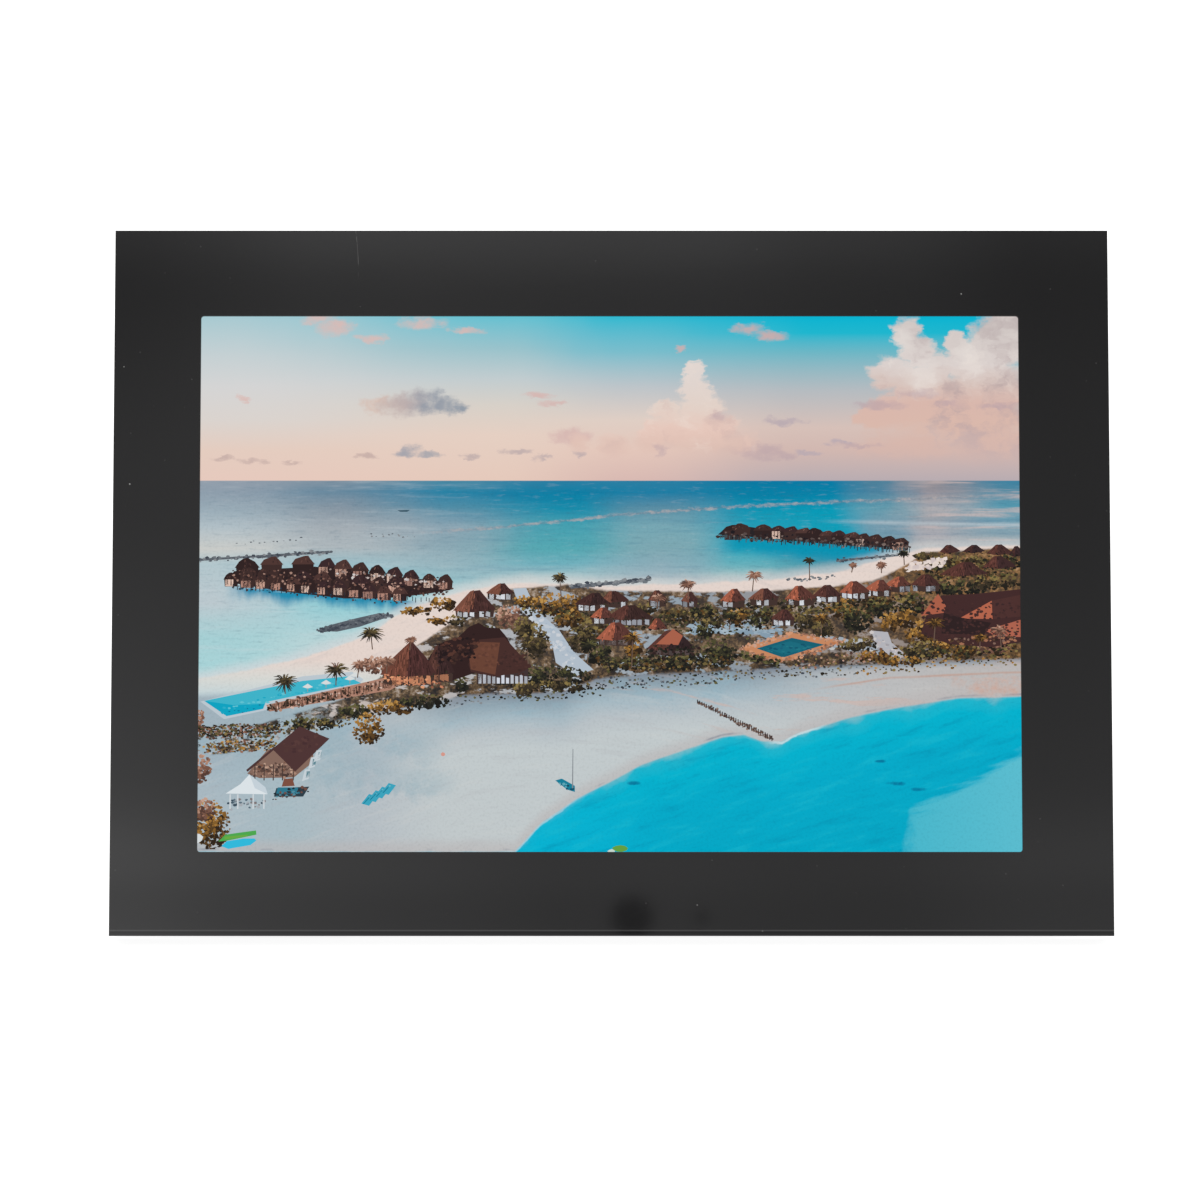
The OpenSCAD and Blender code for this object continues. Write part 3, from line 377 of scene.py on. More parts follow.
def dress_nodes():
    """Every CAD node's material."""
    pressed = "panel_bezel backlight_tray panel_brackets hanger_plates usb_socket card_socket wifi_module"
    chips = "main_processor memory_chips button_switches battery_holder power_inductors"
    white_parts = "panel_frame diffuser_sheet reflector_sheet ribbon_connector usb_tongue"
    for surface, names in (
        (satin_face(), "front_frame"), (moulded_black(), "rear_cover stand_leg"),
        (key_black(), " ".join(n for n in nodes if n.endswith("_button"))),
        (soft_rubber(), "stand_foot_pad bottom_feet"),
        (soft_rubber("black_foam", 22), "panel_gasket speaker_gaskets"),
        (metal("pressed_steel", (196, 198, 202), 0.32), pressed),
        (
            metal("zinc_screws", (190, 190, 186), 0.3, 0.3, (1, 1, 1)),
            "bracket_screws board_screws stand_hinge_pin clock_battery"
        ), (metal("plated_contact", (214, 186, 120), 0.25, 0.3, (1, 1, 1)), "dc_contact hinge_washers"),
        (metal("aluminium_fins", (206, 208, 210), 0.35), "heat_sink board_capacitors"),
        (black_oxide(), "rear_cover_screws"), (circuit_board(), "main_board button_board driver_board"),
        (tinted("chip_case", (26, 26, 28), (40, 40, 42), 0.2, 0.55), chips),
        (tinted("white_mould", (226, 226, 222), (206, 206, 200), 0.5, 0.45), white_parts),
        (tinted("clear_sheet", (214, 232, 236), (190, 214, 220), 2, 0.15), "prism_sheet light_guide"),
        (tinted("ribbon", (224, 224, 218), (196, 198, 196), 0.4, 0.35), "panel_ribbon button_ribbon"),
        (tinted("amber_film", (176, 116, 44), (206, 146, 70), 1, 0.3), "driver_flex"),
        (tinted("aerial_film", (190, 140, 70), (120, 84, 40), 2, 0.3), "wifi_antenna"),
        (tinted("lamp_strip", (232, 228, 210), (206, 200, 180), 0.6, 0.4), "led_strip"),
        (tinted("lamp_domes", (244, 222, 120), (230, 196, 90), 0.6, 0.2), "backlight_leds"),
        (tinted("black_sheet", (30, 30, 33), (22, 22, 24), 1, 0.6), "insulation_sheet"),
        (tinted("chip_parts", (150, 128, 96), (96, 84, 70), 0.4, 0.4), "chip_parts"),
        (tinted("jack_black", (28, 28, 29), (40, 40, 41), 0.3, 0.35), "dc_jack"),
        (tinted("speaker_basket", (40, 40, 42), (28, 28, 30), 0.4, 0.35), "speaker_left speaker_right"),
        (tinted("paper_cone", (58, 58, 60), (42, 42, 44), 0.3, 0.8), "speaker_cones"),
        (tinted("wire_red", (150, 32, 26), (120, 22, 20), 0.8, 0.4), "speaker_leads"),
        (tinted("cell_glass", (120, 138, 138), (96, 114, 116), 3, 0.08), "panel_glass")
    ):
        for name in names.split():
            shade(name, surface)


def soften_edges():
    """Rounds the sharp edges of the pieces that can be seen, a little, as moulding and pressing do."""
    radii = {
        "front_frame": 0.28, "rear_cover": 0.3, "stand_leg": 0.45, "stand_foot_pad": 0.4,
        "bottom_feet": 0.35, "usb_socket": 0.15, "card_socket": 0.12, "dc_jack": 0.25,
        "hanger_plates": 0.15, "rear_cover_screws": 0.22, "usb_tongue": 0.15
    }
    for name in nodes:
        if name.endswith("_button"):
            radii[name] = 0.4
    for name, radius in radii.items():
        piece = nodes[name]
        piece.data.shade_smooth()
        weld = piece.modifiers.new("weld", "WELD")
        weld.merge_threshold = 0.005 * MM
        flat = piece.modifiers.new("join_flat_faces", "DECIMATE")
        flat.decimate_type = "DISSOLVE"
        flat.angle_limit = math.radians(0.6)
        bevel = piece.modifiers.new("round_edges", "BEVEL")
        bevel.width = radius * MM
        bevel.segments = 2
        bevel.limit_method = "ANGLE"
        bevel.angle_limit = math.radians(32)
        bevel.use_clamp_overlap = True
        normals = piece.modifiers.new("flat_normals", "WEIGHTED_NORMAL")
        normals.mode = "FACE_AREA_WITH_ANGLE"
        normals.weight = 90


dress_nodes()
soften_edges()

# ------------------------------------------------------------------ the picture's place

film_lo, film_hi = local("screen_polariser")
FILM_OVERLAP = 2.2
PIC_X0 = film_lo.x + FILM_OVERLAP
PIC_Z0 = film_lo.z + FILM_OVERLAP
PIC_W = film_hi.x - film_lo.x - 2 * FILM_OVERLAP
PIC_H = film_hi.z - film_lo.z - 2 * FILM_OVERLAP
PIC_Y = film_lo.y - 0.01
HORIZON = PIC_H * 0.6918


def on_picture(x, y, raised=0.0):
    """Real place of a picture point, raised from the film towards the viewer by a few hundredths."""
    return at(PIC_X0 + x, PIC_Y - raised, PIC_Z0 + y)


# ------------------------------------------------------------------ the painted view: sky, sea, sand


def tones(value, *stops):
    """Screen colours along a value: stops are (where, red, green, blue)."""
    return value.ramp([(stop[0], linear(*stop[1:])) for stop in stops])


def curve(x, *stops):
    """Height from 0 to 100 mm over x, from points (x, height)."""
    return x.ramp([(where, height / 100) for where, height in stops]) * 100


def columns(x, along, *bands):
    """Colours blended from left to right: a band is where it stands, then its stops along a value."""
    colour = tones(along, *bands[0][1:])
    for (before, *_), (where, *stops) in zip(bands, bands[1:]):
        colour = tones(along, *stops).over(colour, x.step(before, where))
    return colour


def cloud(x, y, lumps, wobble, soft=0.22):
    """Mask of a cloud made of round lumps (x, y, half width, half height), with a ragged edge."""
    field = None
    for cx, cy, rx, ry in lumps:
        dx = (x - cx) * (1 / rx)
        dy = (y - cy) * (1 / ry)
        lump = (dx * dx + dy * dy) * -1 + 1
        field = lump if field is None else field.math("MAXIMUM", lump)
    return (field + wobble).step(0, soft)


def paint_sky(s, x, y, grain, lumpy):
    """Pale pink haze under turquoise, clouds heaped on the right and a small dark one on the left."""
    high = y - HORIZON
    sky = columns(
        x + (lumpy - 0.5) * 18, high,
        (
            6, (0, 230, 201, 189), (8, 228, 204, 191), (16, 218, 211, 206), (25, 212, 212, 212),
            (33, 197, 208, 211), (44, 166, 201, 209)
        ),
        (
            80, (0, 229, 201, 187), (12, 229, 207, 194), (20, 215, 208, 200), (27, 193, 204, 207),
            (35, 152, 194, 203), (44, 96, 192, 209)
        ),
        (
            112, (0, 216, 185, 178), (8, 227, 198, 186), (16, 223, 206, 196), (25, 188, 196, 201),
            (34, 122, 189, 204), (44, 36, 184, 208)
        ),
        (
            160, (0, 184, 172, 177), (8, 209, 183, 176), (14, 214, 192, 184), (24, 180, 187, 192),
            (34, 108, 182, 197), (39, 28, 182, 206), (44, 0, 179, 209)
        )
    )
    fine = (grain - 0.5) * 2.4
    plain_y = y
    x = x + (s.weave(5, 6, 0.62, x, y * 1.6, 0.21) - 0.5) * 9
    y = y + (s.weave(5, 6, 0.62, x, y * 1.6, 0.57) - 0.5) * 5.4
    puff = (s.weave(9, 6, 0.62, x, y, 0.11) - 0.5) * 2
    streaky = cloud(x, y, [
        (35.2, 137.6, 5.4, 2.8), (31, 140, 5, 1.6), (45.2, 134.6, 4, 1.2), (57.8, 138.8, 7, 2),
        (69, 137, 5, 1), (143.4, 137.2, 5, 1.7), (149.4, 135.6, 5.6, 1.5), (126, 132, 2, 0.9),
        (11, 119, 2, 0.8), (88.4, 119.8, 4, 1), (92.6, 117.6, 4, 0.9), (97, 109, 6, 2.4)
    ], fine * 0.8 + 0.3, 1.6)
    sky = tones(x, (60, 218, 186, 180), (140, 205, 172, 170)).over(sky, streaky * 0.9)
    small = cloud(x, y, [
        (47, 117, 7, 2.8), (53, 117.4, 6.4, 3.8), (59, 118, 6.6, 4.4), (64, 117.2, 5.2, 3.2),
        (68, 116.4, 3, 1.2)
    ], fine * 0.9 + 0.1, 1.3)
    small_tone = tones(
        x + puff * 5, (46, 214, 188, 176), (53, 184, 170, 170), (60, 146, 152, 164), (66, 138, 149, 163)
    )
    sky = small_tone.over(sky, small * 0.92)
    low = cloud(x, y, [
        (54.6, 104.9, 3.8, 1.9), (60.4, 104.4, 3.6, 1.1), (43.8, 103.7, 3.4, 0.9), (71, 103.4, 3, 0.6),
        (83, 105, 4.2, 0.9), (89.8, 103.4, 3, 0.9), (99, 104.2, 2.4, 0.8), (13, 102.4, 4, 0.9),
        (6, 103, 3.4, 0.8), (24, 101.8, 3, 0.6), (160, 104.6, 4, 0.8), (167.4, 107.3, 4, 0.9),
        (153, 112.9, 6.4, 1.1)
    ], fine * 1.0 + 0.3, 1.5)
    low_tone = tones(
        x, (46, 196, 172, 166), (52, 148, 154, 168), (62, 160, 162, 170), (66, 190, 172, 170),
        (170, 182, 168, 178)
    )
    sky = low_tone.over(sky, low * 0.85)
    light = tones(
        y + puff * 2.6, (100, 214, 182, 175), (106, 222, 190, 178), (111, 230, 200, 188),
        (117, 227, 210, 200), (125, 226, 214, 208)
    )
    light = s.tone(208, 178, 172).over(light, (puff * -1 - 0.04).step(0, 0.34) * 0.55)
    light = s.tone(238, 220, 210).over(light, (puff - 0.06).step(0, 0.3) * 0.5)
    rising = (plain_y + puff * 2).step(HORIZON + 1, HORIZON + 12)
    tower = cloud(x, y, [
        (127, 109.6, 12, 6), (135.6, 108.4, 10, 5.4), (119, 108, 7, 4.4), (108, 106.4, 5.4, 4),
        (141.4, 107, 7, 4.4), (99, 107, 3.4, 3.4)
    ], puff * 0.5, 1.1)
    sky = light.over(sky, tower * rising * 0.9)
    tower = cloud(x, y, [
        (129.3, 125.8, 3.2, 3.6), (130, 121.4, 5.2, 5.4), (131, 116.4, 7, 5), (122, 115.6, 4.4, 3.2),
        (125, 111.6, 8, 4.4), (134.6, 112, 8, 4.4), (118.6, 110, 4.4, 3.4)
    ], fine * 0.3, 0.6)
    sky = light.over(sky, tower * 0.94)
    tall = tones(
        y + puff * 3.4, (98, 190, 168, 171), (105, 214, 181, 171), (112, 218, 184, 171),
        (118, 217, 183, 172), (123, 217, 196, 188), (128, 221, 209, 205), (138, 214, 201, 196)
    )
    dim = tones(y, (105, 186, 164, 168), (125, 178, 158, 158), (136, 190, 172, 170))
    tall = dim.over(tall, (puff * -1.5 + (x - 186) * 0.012).step(0.1, 0.7) * 0.7)
    bright = cloud(
        x, y, [(189, 125.6, 6.6, 6), (184.6, 134, 4, 5), (200.6, 131, 3.6, 4.4)], puff * 0.5, 1.4
    )
    tall = s.tone(232, 222, 216).over(tall, bright * 0.7)
    tall = s.tone(236, 224, 217).over(tall, (puff - 0.06).step(0, 0.3) * plain_y.step(116, 126) * 0.55)
    heap = cloud(
        x, y, [(197, 114, 23, 10), (207, 107, 18, 8), (179, 114, 9, 5.4), (186, 106, 20, 5.4)], puff * 0.45,
        1.1
    )
    sky = tall.over(sky, heap * (plain_y + puff * 3).step(HORIZON, HORIZON + 12) * 0.92)
    heap = cloud(x, y, [
        (185.6, 136.4, 4.8, 5), (188.6, 131, 6, 5), (182, 125.4, 7.6, 5.4), (190, 121.6, 11, 7.6),
        (201, 129, 7, 6.6), (194.6, 127.4, 5, 4.6), (198.6, 134, 3.6, 3.4), (207.6, 132.6, 8, 8),
        (213, 136, 10, 10), (207, 122, 13, 9), (186, 116.4, 12, 5), (204, 114, 14, 6),
        (175.6, 113.6, 5, 3.4)
    ], fine * 0.3, 0.6)
    sky = tall.over(sky, heap * (plain_y + puff * 3).step(HORIZON + 6, HORIZON + 16) * 0.95)
    violet = cloud(x, y, [
        (147, 104.9, 7, 2.6), (152, 103.6, 5, 1.6), (178, 117.2, 8, 1.4), (188, 120.2, 6, 1.6),
        (209, 117, 6, 1.2), (196, 117.4, 4, 1.2), (172, 106.6, 7, 1.0), (136.4, 114.4, 2.6, 1.6),
        (120.4, 105.6, 2, 2.4)
    ], fine * 0.9 + 0.2, 1.5)
    return s.tone(182, 160, 168).over(sky, violet * 0.6)


def paint_sea(s, x, y, lumpy):
    """Deep teal at the horizon, turquoise over the shallows, a pale reef and pink sheen at the right."""
    below = y * -1 + HORIZON
    sway = (lumpy - 0.5) * 22
    depth = below + (s.weave(20, 3, 0.5, x * 0.4, below * 2, 0.45) - 0.5) * 2.4
    sea = columns(
        x + sway, depth,
        (
            4, (0, 146, 158, 171), (3, 142, 158, 172), (8, 156, 174, 185), (12, 178, 192, 199),
            (18, 202, 204, 201), (22, 178, 198, 204), (32, 188, 201, 207), (41, 166, 208, 213),
            (52, 170, 213, 217)
        ),
        (
            38, (0, 128, 146, 161), (3, 102, 136, 158), (7, 134, 150, 163), (12, 164, 173, 180),
            (18, 173, 183, 188), (25, 142, 196, 208), (33, 148, 205, 213), (42, 184, 212, 215)
        ),
        (
            62, (0, 78, 138, 163), (3, 38, 130, 165), (7, 80, 141, 166), (12, 138, 164, 178),
            (16, 138, 166, 178), (22, 152, 182, 191), (30, 150, 200, 208)
        ),
        (
            96, (0, 40, 127, 163), (3, 6, 127, 165), (7, 16, 139, 170), (12, 70, 161, 177),
            (18, 84, 168, 178), (22, 112, 176, 189), (27, 186, 203, 205)
        ),
        (
            120, (0, 40, 126, 162), (3, 28, 125, 164), (7, 88, 140, 163), (12, 120, 168, 180),
            (18, 126, 168, 178), (22, 138, 172, 184), (27, 164, 184, 193)
        ),
        (
            143, (0, 2, 121, 162), (4, 0, 129, 166), (8, 8, 150, 180), (13, 36, 160, 184),
            (18, 40, 167, 188), (22, 100, 176, 188), (27, 168, 196, 196)
        ),
        (
            164, (0, 0, 123, 165), (4, 0, 132, 169), (8, 0, 154, 183), (13, 10, 158, 184),
            (18, 6, 140, 173), (22, 70, 150, 168)
        ),
        (
            178, (0, 76, 127, 152), (3, 76, 130, 158), (7, 98, 156, 174), (12, 120, 156, 174),
            (18, 110, 150, 166)
        ),
        (
            192, (0, 130, 133, 143), (3, 152, 146, 152), (7, 176, 173, 176), (10, 154, 160, 168),
            (14, 172, 171, 177), (20, 172, 162, 160)
        ),
        (
            214, (0, 60, 130, 160), (3, 84, 138, 162), (7, 84, 152, 174), (11, 116, 158, 176),
            (16, 150, 168, 176), (20, 160, 160, 162)
        )
    )
    streak = s.weave(15, 5, 0.62, x * 0.5, below * 8, 0.7)
    ripple = s.weave(2.6, 4, 0.65, x * 0.55, below * 3.4, 0.2)
    sea = s.tone(214, 190, 184).over(
        sea, (streak - 0.5).step(0, 0.16) * (x + sway * 0.4).step(176, 200) * 0.6
    )
    sea = s.tone(12, 104, 146).over(sea, (streak * -1 + 0.5).step(0, 0.2) * x.step(30, 90) * 0.2)
    sea = s.tone(206, 214, 218).over(sea, (streak - 0.52).step(0, 0.2) * x.step(110, 30) * 0.25)
    sea = s.tone(60, 104, 128).over(sea, (ripple - 0.52).step(0, 0.2) * 0.2)
    sea = s.tone(214, 214, 214).over(sea, (ripple * -1 + 0.46).step(0, 0.2) * 0.1)
    band = (below - 11.2 - (x - 190) * 0.02).near(0.9, 1.1)
    sea = s.tone(196, 206, 212).over(sea, band * x.step(160, 182) * (streak * 1.2))
    # the reef: a thin broken line that climbs to the right
    reef_y = curve(
        x, (0, 15), (43, 14.2), (72, 12.8), (84, 11.8), (107, 9.3), (137, 6.9), (166, 5.6), (222, 3.6)
    )
    offset = (below - reef_y + (lumpy - 0.5) * 0.8).math("ABSOLUTE")
    knots = s.weave(1.8, 4, 0.7, x * 0.8, below * 2, 0.5)
    reef = (offset * -1 + 0.6 + (knots - 0.5) * 1.8).step(0, 0.6) * x.step(46, 80) * x.step(216, 190)
    sea = tones(
        knots, (0.36, 92, 108, 124), (0.48, 140, 150, 162), (0.56, 168, 164, 168), (0.7, 196, 180, 172)
    ).over(sea, reef * 0.68)
    # deep water in the shade of the houses on stilts
    blots = (s.weave(4, 3, 0.5, x, y * 0.3, 0.33) - 0.5) * 7
    shadow = (x * -0.085 + 70.2 - y + (ripple - 0.5) * 3).step(-0.6, 0.6)
    shadow = shadow * (x * -0.085 + 67 - y + blots).step(1.4, -2.6)
    sea = s.tone(0, 134, 172).over(sea, shadow * x.step(6, 13) * x.step(72, 60) * 0.96)
    shadow = (x * -0.08 + 93.8 - y).step(-0.5, 0.5) * (x * -0.08 + 89.4 - y + blots * 0.5).step(1.6, -2.4)
    return s.tone(0, 146, 178).over(sea, shadow * x.step(134, 142) * x.step(192, 180) * 0.9)


def paint_sand(s, x, y, below_hedge, grain, lumpy):
    """Pale beach: warm by the far shore, blue under the hedges, light grey in the foreground."""
    drift = (lumpy - 0.5) * 8
    near = tones(
        below_hedge + drift * 0.5, (0, 128, 138, 150), (2.5, 142, 162, 174), (6, 164, 184, 194),
        (10, 184, 193, 198), (15, 194, 202, 204), (40, 193, 200, 202)
    )
    left = tones(
        x + drift, (0, 166, 183, 193), (24, 163, 184, 193), (44, 178, 187, 194), (70, 194, 201, 203)
    )
    near = left.over(near, x.step(74, 44) * 0.85)
    pool_of_shade = cloud(
        x + (grain - 0.5) * 16, y + drift * 0.8 + (grain - 0.5) * 10,
        [(42, 21, 16, 8), (54, 28, 12, 7), (36, 27, 9, 5), (58, 18, 10, 5)], (grain - 0.5) * 2 + 0.35, 2.4
    )
    near = s.tone(132, 168, 182).over(near, pool_of_shade * 0.6)
    patch = s.weave(14, 4, 0.6, x, y * 1.8, 0.9)
    near = s.tone(146, 178, 192).over(near, (patch - 0.52).step(0, 0.16) * below_hedge.step(14, 5) * 0.5)
    warm = tones(y, (41, 196, 212, 216), (45, 214, 216, 212), (50, 228, 212, 204))
    sand = warm.over(near, below_hedge.step(-1, -4) * (x * -0.04 + y).step(39.6, 42))
    bank = tones(x + drift, (130, 186, 194, 198), (170, 193, 192, 192), (205, 194, 186, 182))
    sand = bank.over(sand, x.step(134, 176) * below_hedge.step(-0.5, 2) * 0.8)
    slope = x.ramp([(0, 0.34), (70, 0.34), (150, 0.1), (222, 0.06)])
    rake = s.weave(6, 5, 0.65, (x + y * slope) * 0.3, (y - x * slope) * 2.4, 0.4)
    sand = s.tone(172, 172, 176).over(sand, (rake - 0.53).step(0, 0.16) * 0.2)
    sand = s.tone(208, 208, 206).over(sand, (rake * -1 + 0.47).step(0, 0.16) * 0.2)
    line_y = curve(x, (0, 40), (158, 41.8), (166, 43.1), (180, 45.3), (202, 46.5), (222, 47))
    line = (y - line_y + drift * 0.15).near(0.5, 0.5) * x.step(158, 172) * (rake * 1.4)
    sand = s.tone(190, 156, 142).over(sand, line)
    return s.tone(214, 180, 166).over(
        sand, (rake - 0.57).step(0, 0.08) * (x * 0.5 + y).step(88, 112) * below_hedge.step(-1, 4) * 0.5
    )


def paint_growth(s, x, y, hedge_y):
    """Scrub, shade and leaf litter between the far beach and the foot of the hedges."""
    edge = curve(
        x, (0, 33), (16, 33.5), (38, 40), (48, 46), (54, 52), (60, 56), (66, 60), (71, 65), (80, 68.5),
        (96, 70), (106, 68.5), (130, 68), (150, 68.5), (165, 69.5), (176, 71), (184, 74.5), (190, 78.5),
        (222, 80)
    )
    patch = s.weave(5, 6, 0.7, x, y * 1.5, 0.35)
    leaf = s.weave(1.3, 4, 0.7, x, y, 0.8)
    tone = tones(
        leaf + (patch - 0.5) * 0.9, (0.26, 28, 22, 20), (0.4, 46, 36, 28), (0.5, 80, 62, 42),
        (0.6, 116, 92, 64), (0.76, 178, 164, 152)
    )
    gold = tones(
        leaf + (patch - 0.5) * 0.5, (0.3, 46, 36, 24), (0.45, 92, 66, 34), (0.6, 146, 104, 54),
        (0.75, 184, 140, 92)
    )
    tone = gold.over(tone, (x * 0.4 + y).step(126, 136) * 0.75)
    bare = tones(
        x + y * 0.4, (60, 208, 196, 190), (110, 178, 186, 194), (150, 150, 168, 182), (190, 150, 140, 136)
    )
    holes = (s.weave(6, 4, 0.6, x, y * 2, 0.62) - 0.53).step(0, 0.05)
    tone = bare.over(tone, holes * (x + y).step(262, 236) * 0.85)
    ragged = (patch - 0.5) * 5
    inside = (y - hedge_y + ragged * 0.4).step(-0.4, 0.6) * (edge - y + ragged * 0.3).step(-0.3, 0.5)
    gaps = (patch - 0.46).step(0, 0.05) * x.step(40, 20)
    return tone, inside * gaps.flipped()


def paint_lagoon(s, x, y, base, grain):
    """Turquoise bay in the lower right corner with wet sand and pale shallows."""
    wave = s.weave(9, 3, 0.5, x, y, 0.15) - 0.5
    rise = curve(
        x, (78, -5), (82.5, 0), (89.5, 7.5), (98.6, 13.8), (107.3, 18.1), (115.7, 22.7), (124.8, 25.9),
        (136.8, 29.8), (142.4, 30.5), (146.6, 28.9), (152.2, 28.7), (156.4, 30.8), (170.4, 35.1),
        (184.4, 37.9), (198.5, 40), (222, 40.6)
    )
    edge = rise + wave * 0.8 - y
    streak = s.weave(6, 5, 0.66, (x + y * 0.3) * 0.35, (y - x * 0.3) * 1.8, 0.6)
    water = tones(
        edge + wave * 6, (0, 110, 186, 200), (1.2, 30, 180, 204), (4, 0, 178, 206), (14, 0, 170, 201),
        (30, 0, 167, 197)
    )
    water = s.tone(2, 178, 210).over(water, (x + y * 0.8).step(132, 100) * 0.8)
    water = s.tone(26, 186, 208).over(water, (streak - 0.5).step(0, 0.2) * 0.45)
    water = s.tone(0, 142, 176).over(water, (streak * -1 + 0.49).step(0, 0.2) * 0.5)
    corner = curve(x, (183, 0), (185.5, 10), (194, 14.2), (205, 19.2), (222, 31))
    pale = (corner - y + wave * 3 + (streak - 0.5) * 14).step(-2.4, 2.4)
    pale = pale * (x + (grain - 0.5) * 14).step(180, 188)
    water = tones(x, (184, 74, 184, 204), (214, 94, 190, 208)).over(water, pale * 0.92)
    weed = cloud(
        x, y, [(182, 17.8, 3, 0.7), (188, 16.4, 2.4, 0.7), (178, 23.6, 2, 0.5), (113.6, 18, 2.2, 0.7)],
        (grain - 0.5) * 3, 1.0
    )
    water = s.tone(0, 96, 140).over(water, weed * 0.75)
    painted = s.tone(186, 182, 182).over(base, edge.step(-4.5, -0.8) * 0.6)
    blush = cloud(x, y, [(208, 43.4, 14, 3.4)], (grain - 0.5) * 5, 2)
    painted = s.tone(206, 160, 140).over(painted, blush * 0.7)
    wrack = (edge + 0.6).near(0.5, 0.5) * wave.step(0, 0.2)
    painted = s.tone(120, 128, 144).over(painted, wrack * 0.7)
    painted = water.over(painted, edge.step(-0.35, 0.3))
    foam = (edge - 0.2 + (grain - 0.5) * 1.3).near(0.5, 0.4)
    foam = foam * (x - 156).near(9, 5).math("MAXIMUM", x.step(104, 92) * 0.6)
    return s.tone(214, 226, 228).over(painted, foam * 0.7)


def glowing(name):
    """Nearly black surface that shows only its own light, at full strength."""
    s = Surface(name, 0.3, Specular_IOR_Level=0.0)
    s.set("Base Color", (0.002, 0.002, 0.002, 1))
    s.shader.inputs["Emission Strength"].default_value = 1.0
    return s


def lit_picture():
    """The whole far view as one glowing material; x and y run over the picture in millimetres."""
    s = glowing("lit_picture")
    x = s.axis(s.chart, 0) * PIC_W
    y = s.axis(s.chart, 1) * PIC_H
    flat = s.join(x * MM, y * MM)
    grain = s.noise(3.6, 6, 0.62, flat)
    lumpy = s.noise(24, 3, 0.5, flat)
    sky = paint_sky(s, x, y, grain, lumpy)
    sea = paint_sea(s, x, y, lumpy)
    view = sea.over(sky, y.step(HORIZON + 0.12, HORIZON - 0.12))
    land_top = curve(
        x, (0, 45.2), (10, 46.8), (21, 49.1), (36, 53.5), (45, 57.2), (50.5, 60.8), (56, 63.8), (64, 66.8),
        (74, 69), (84, 70.3), (107, 69.5), (130, 70), (154, 71.5), (168, 73.5), (176, 75.7), (185, 78.5),
        (190, 79.5), (222, 80)
    )
    hedge_y = curve(
        x, (0, 25), (14, 26), (24, 30.5), (38, 34.5), (52, 37), (66, 40), (72, 41), (95, 41.5), (104, 45),
        (112, 46), (134, 46.8), (160, 48.2), (190, 49.4), (222, 50.8)
    )
    shore = land_top + (s.noise(9, 4, 0.6, flat) - 0.5) * 2.4 - y
    sand = paint_sand(s, x, y, hedge_y - y, grain, lumpy)
    shallows = tones(x, (20, 206, 214, 217), (90, 212, 214, 212), (180, 196, 200, 202))
    view = shallows.over(view, (shore + 3.6).step(0, 3.6) * 0.85)
    view = sand.over(view, shore.step(-0.5, 0.4))
    tone, cover = paint_growth(s, x, y, hedge_y)
    view = tone.over(view, cover * 0.96)
    view = paint_lagoon(s, x, y, view, grain)
    speck = s.noise(0.7, 2, 0.6, flat)
    speck = (speck * -1 + 0.56).step(0, 0.3) * y.step(HORIZON, HORIZON - 4)
    view = s.tone(0, 0, 0).over(view, speck * 0.08)
    s.set("Emission Color", view)
    return s


def flat_mesh(name, points, faces, surfaces, numbers=None):
    """Flat faces as one object; numbers gives each face's surface."""
    mesh = bpy.data.meshes.new(name)
    mesh.from_pydata([tuple(p) for p in points], [], faces)
    for surface in surfaces:
        mesh.materials.append(surface.material)
    if numbers:
        mesh.polygons.foreach_set("material_index", numbers)
    thing = bpy.data.objects.new(name, mesh)
    bpy.context.scene.collection.objects.link(thing)
    return thing


def flat_piece(name, points, faces, surfaces, numbers=None, body="frame"):
    """Flat faces that ride on a body."""
    piece = flat_mesh(name, points, faces, surfaces, numbers)
    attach(piece, body)
    return piece


def make_picture():
    """The glowing sheet in front of the film, with a chart of the picture on it."""
    spots = [(-FILM_OVERLAP, -FILM_OVERLAP), (PIC_W + FILM_OVERLAP, -FILM_OVERLAP)]
    spots += [(PIC_W + FILM_OVERLAP, PIC_H + FILM_OVERLAP), (-FILM_OVERLAP, PIC_H + FILM_OVERLAP)]
    piece = flat_piece("lit_picture", [on_picture(*p) for p in spots], [(0, 1, 2, 3)], [lit_picture()])
    chart = piece.data.uv_layers.new(name="picture")
    for corner, (x, y) in zip(chart.data, spots):
        corner.uv = (x / PIC_W, y / PIC_H)
    shade("screen_polariser", tinted("film_edge", (18, 20, 22), (26, 28, 30), 1, 0.2))


make_picture()

# ------------------------------------------------------------------ symbols on the keys


def ring(radius, start, end):
    """Outlines of the short quads that make part of a ring, from one angle to another."""
    quads = 16
    inner = radius - 0.32
    parts = []
    for i in range(quads):
        a, b = (start + (end - start) * k / quads for k in (i, i + 1))
        corners = ((radius, a), (radius, b), (inner, b), (inner, a))
        parts.append([(far * math.cos(turn), far * math.sin(turn)) for far, turn in corners])
    return parts


def bar(x, z, wide, high):
    """Upright rectangle about (x, z)."""
    corners = ((-1, -1), (1, -1), (1, 1), (-1, 1))
    return [(x + side * wide / 2, z + end * high / 2) for side, end in corners]


KEY_MARKS = {
    "power": ring(1.2, 2.1, 7.3) + [bar(0, 0.9, 0.32, 1.3)],
    "menu": [bar(0, 0.9, 2.4, 0.34), bar(0, 0, 2.4, 0.34), bar(0, -0.9, 2.4, 0.34)],
    "back": ring(1.0, -1.6, 1.6) + [[(0.2, 1.7), (-1.0, 0.85), (0.2, 0.1)], bar(-0.3, -0.84, 0.9, 0.32)],
    "left": [[(0.7, 1.1), (-1.1, 0), (0.7, -1.1)]], "right": [[(-0.7, 1.1), (-0.7, -1.1), (1.1, 0)]],
    "play": [[(-1.2, 1.1), (-1.2, -1.1), (0.3, 0)], bar(0.75, 0, 0.36, 2.0), bar(1.45, 0, 0.36, 2.0)]
}


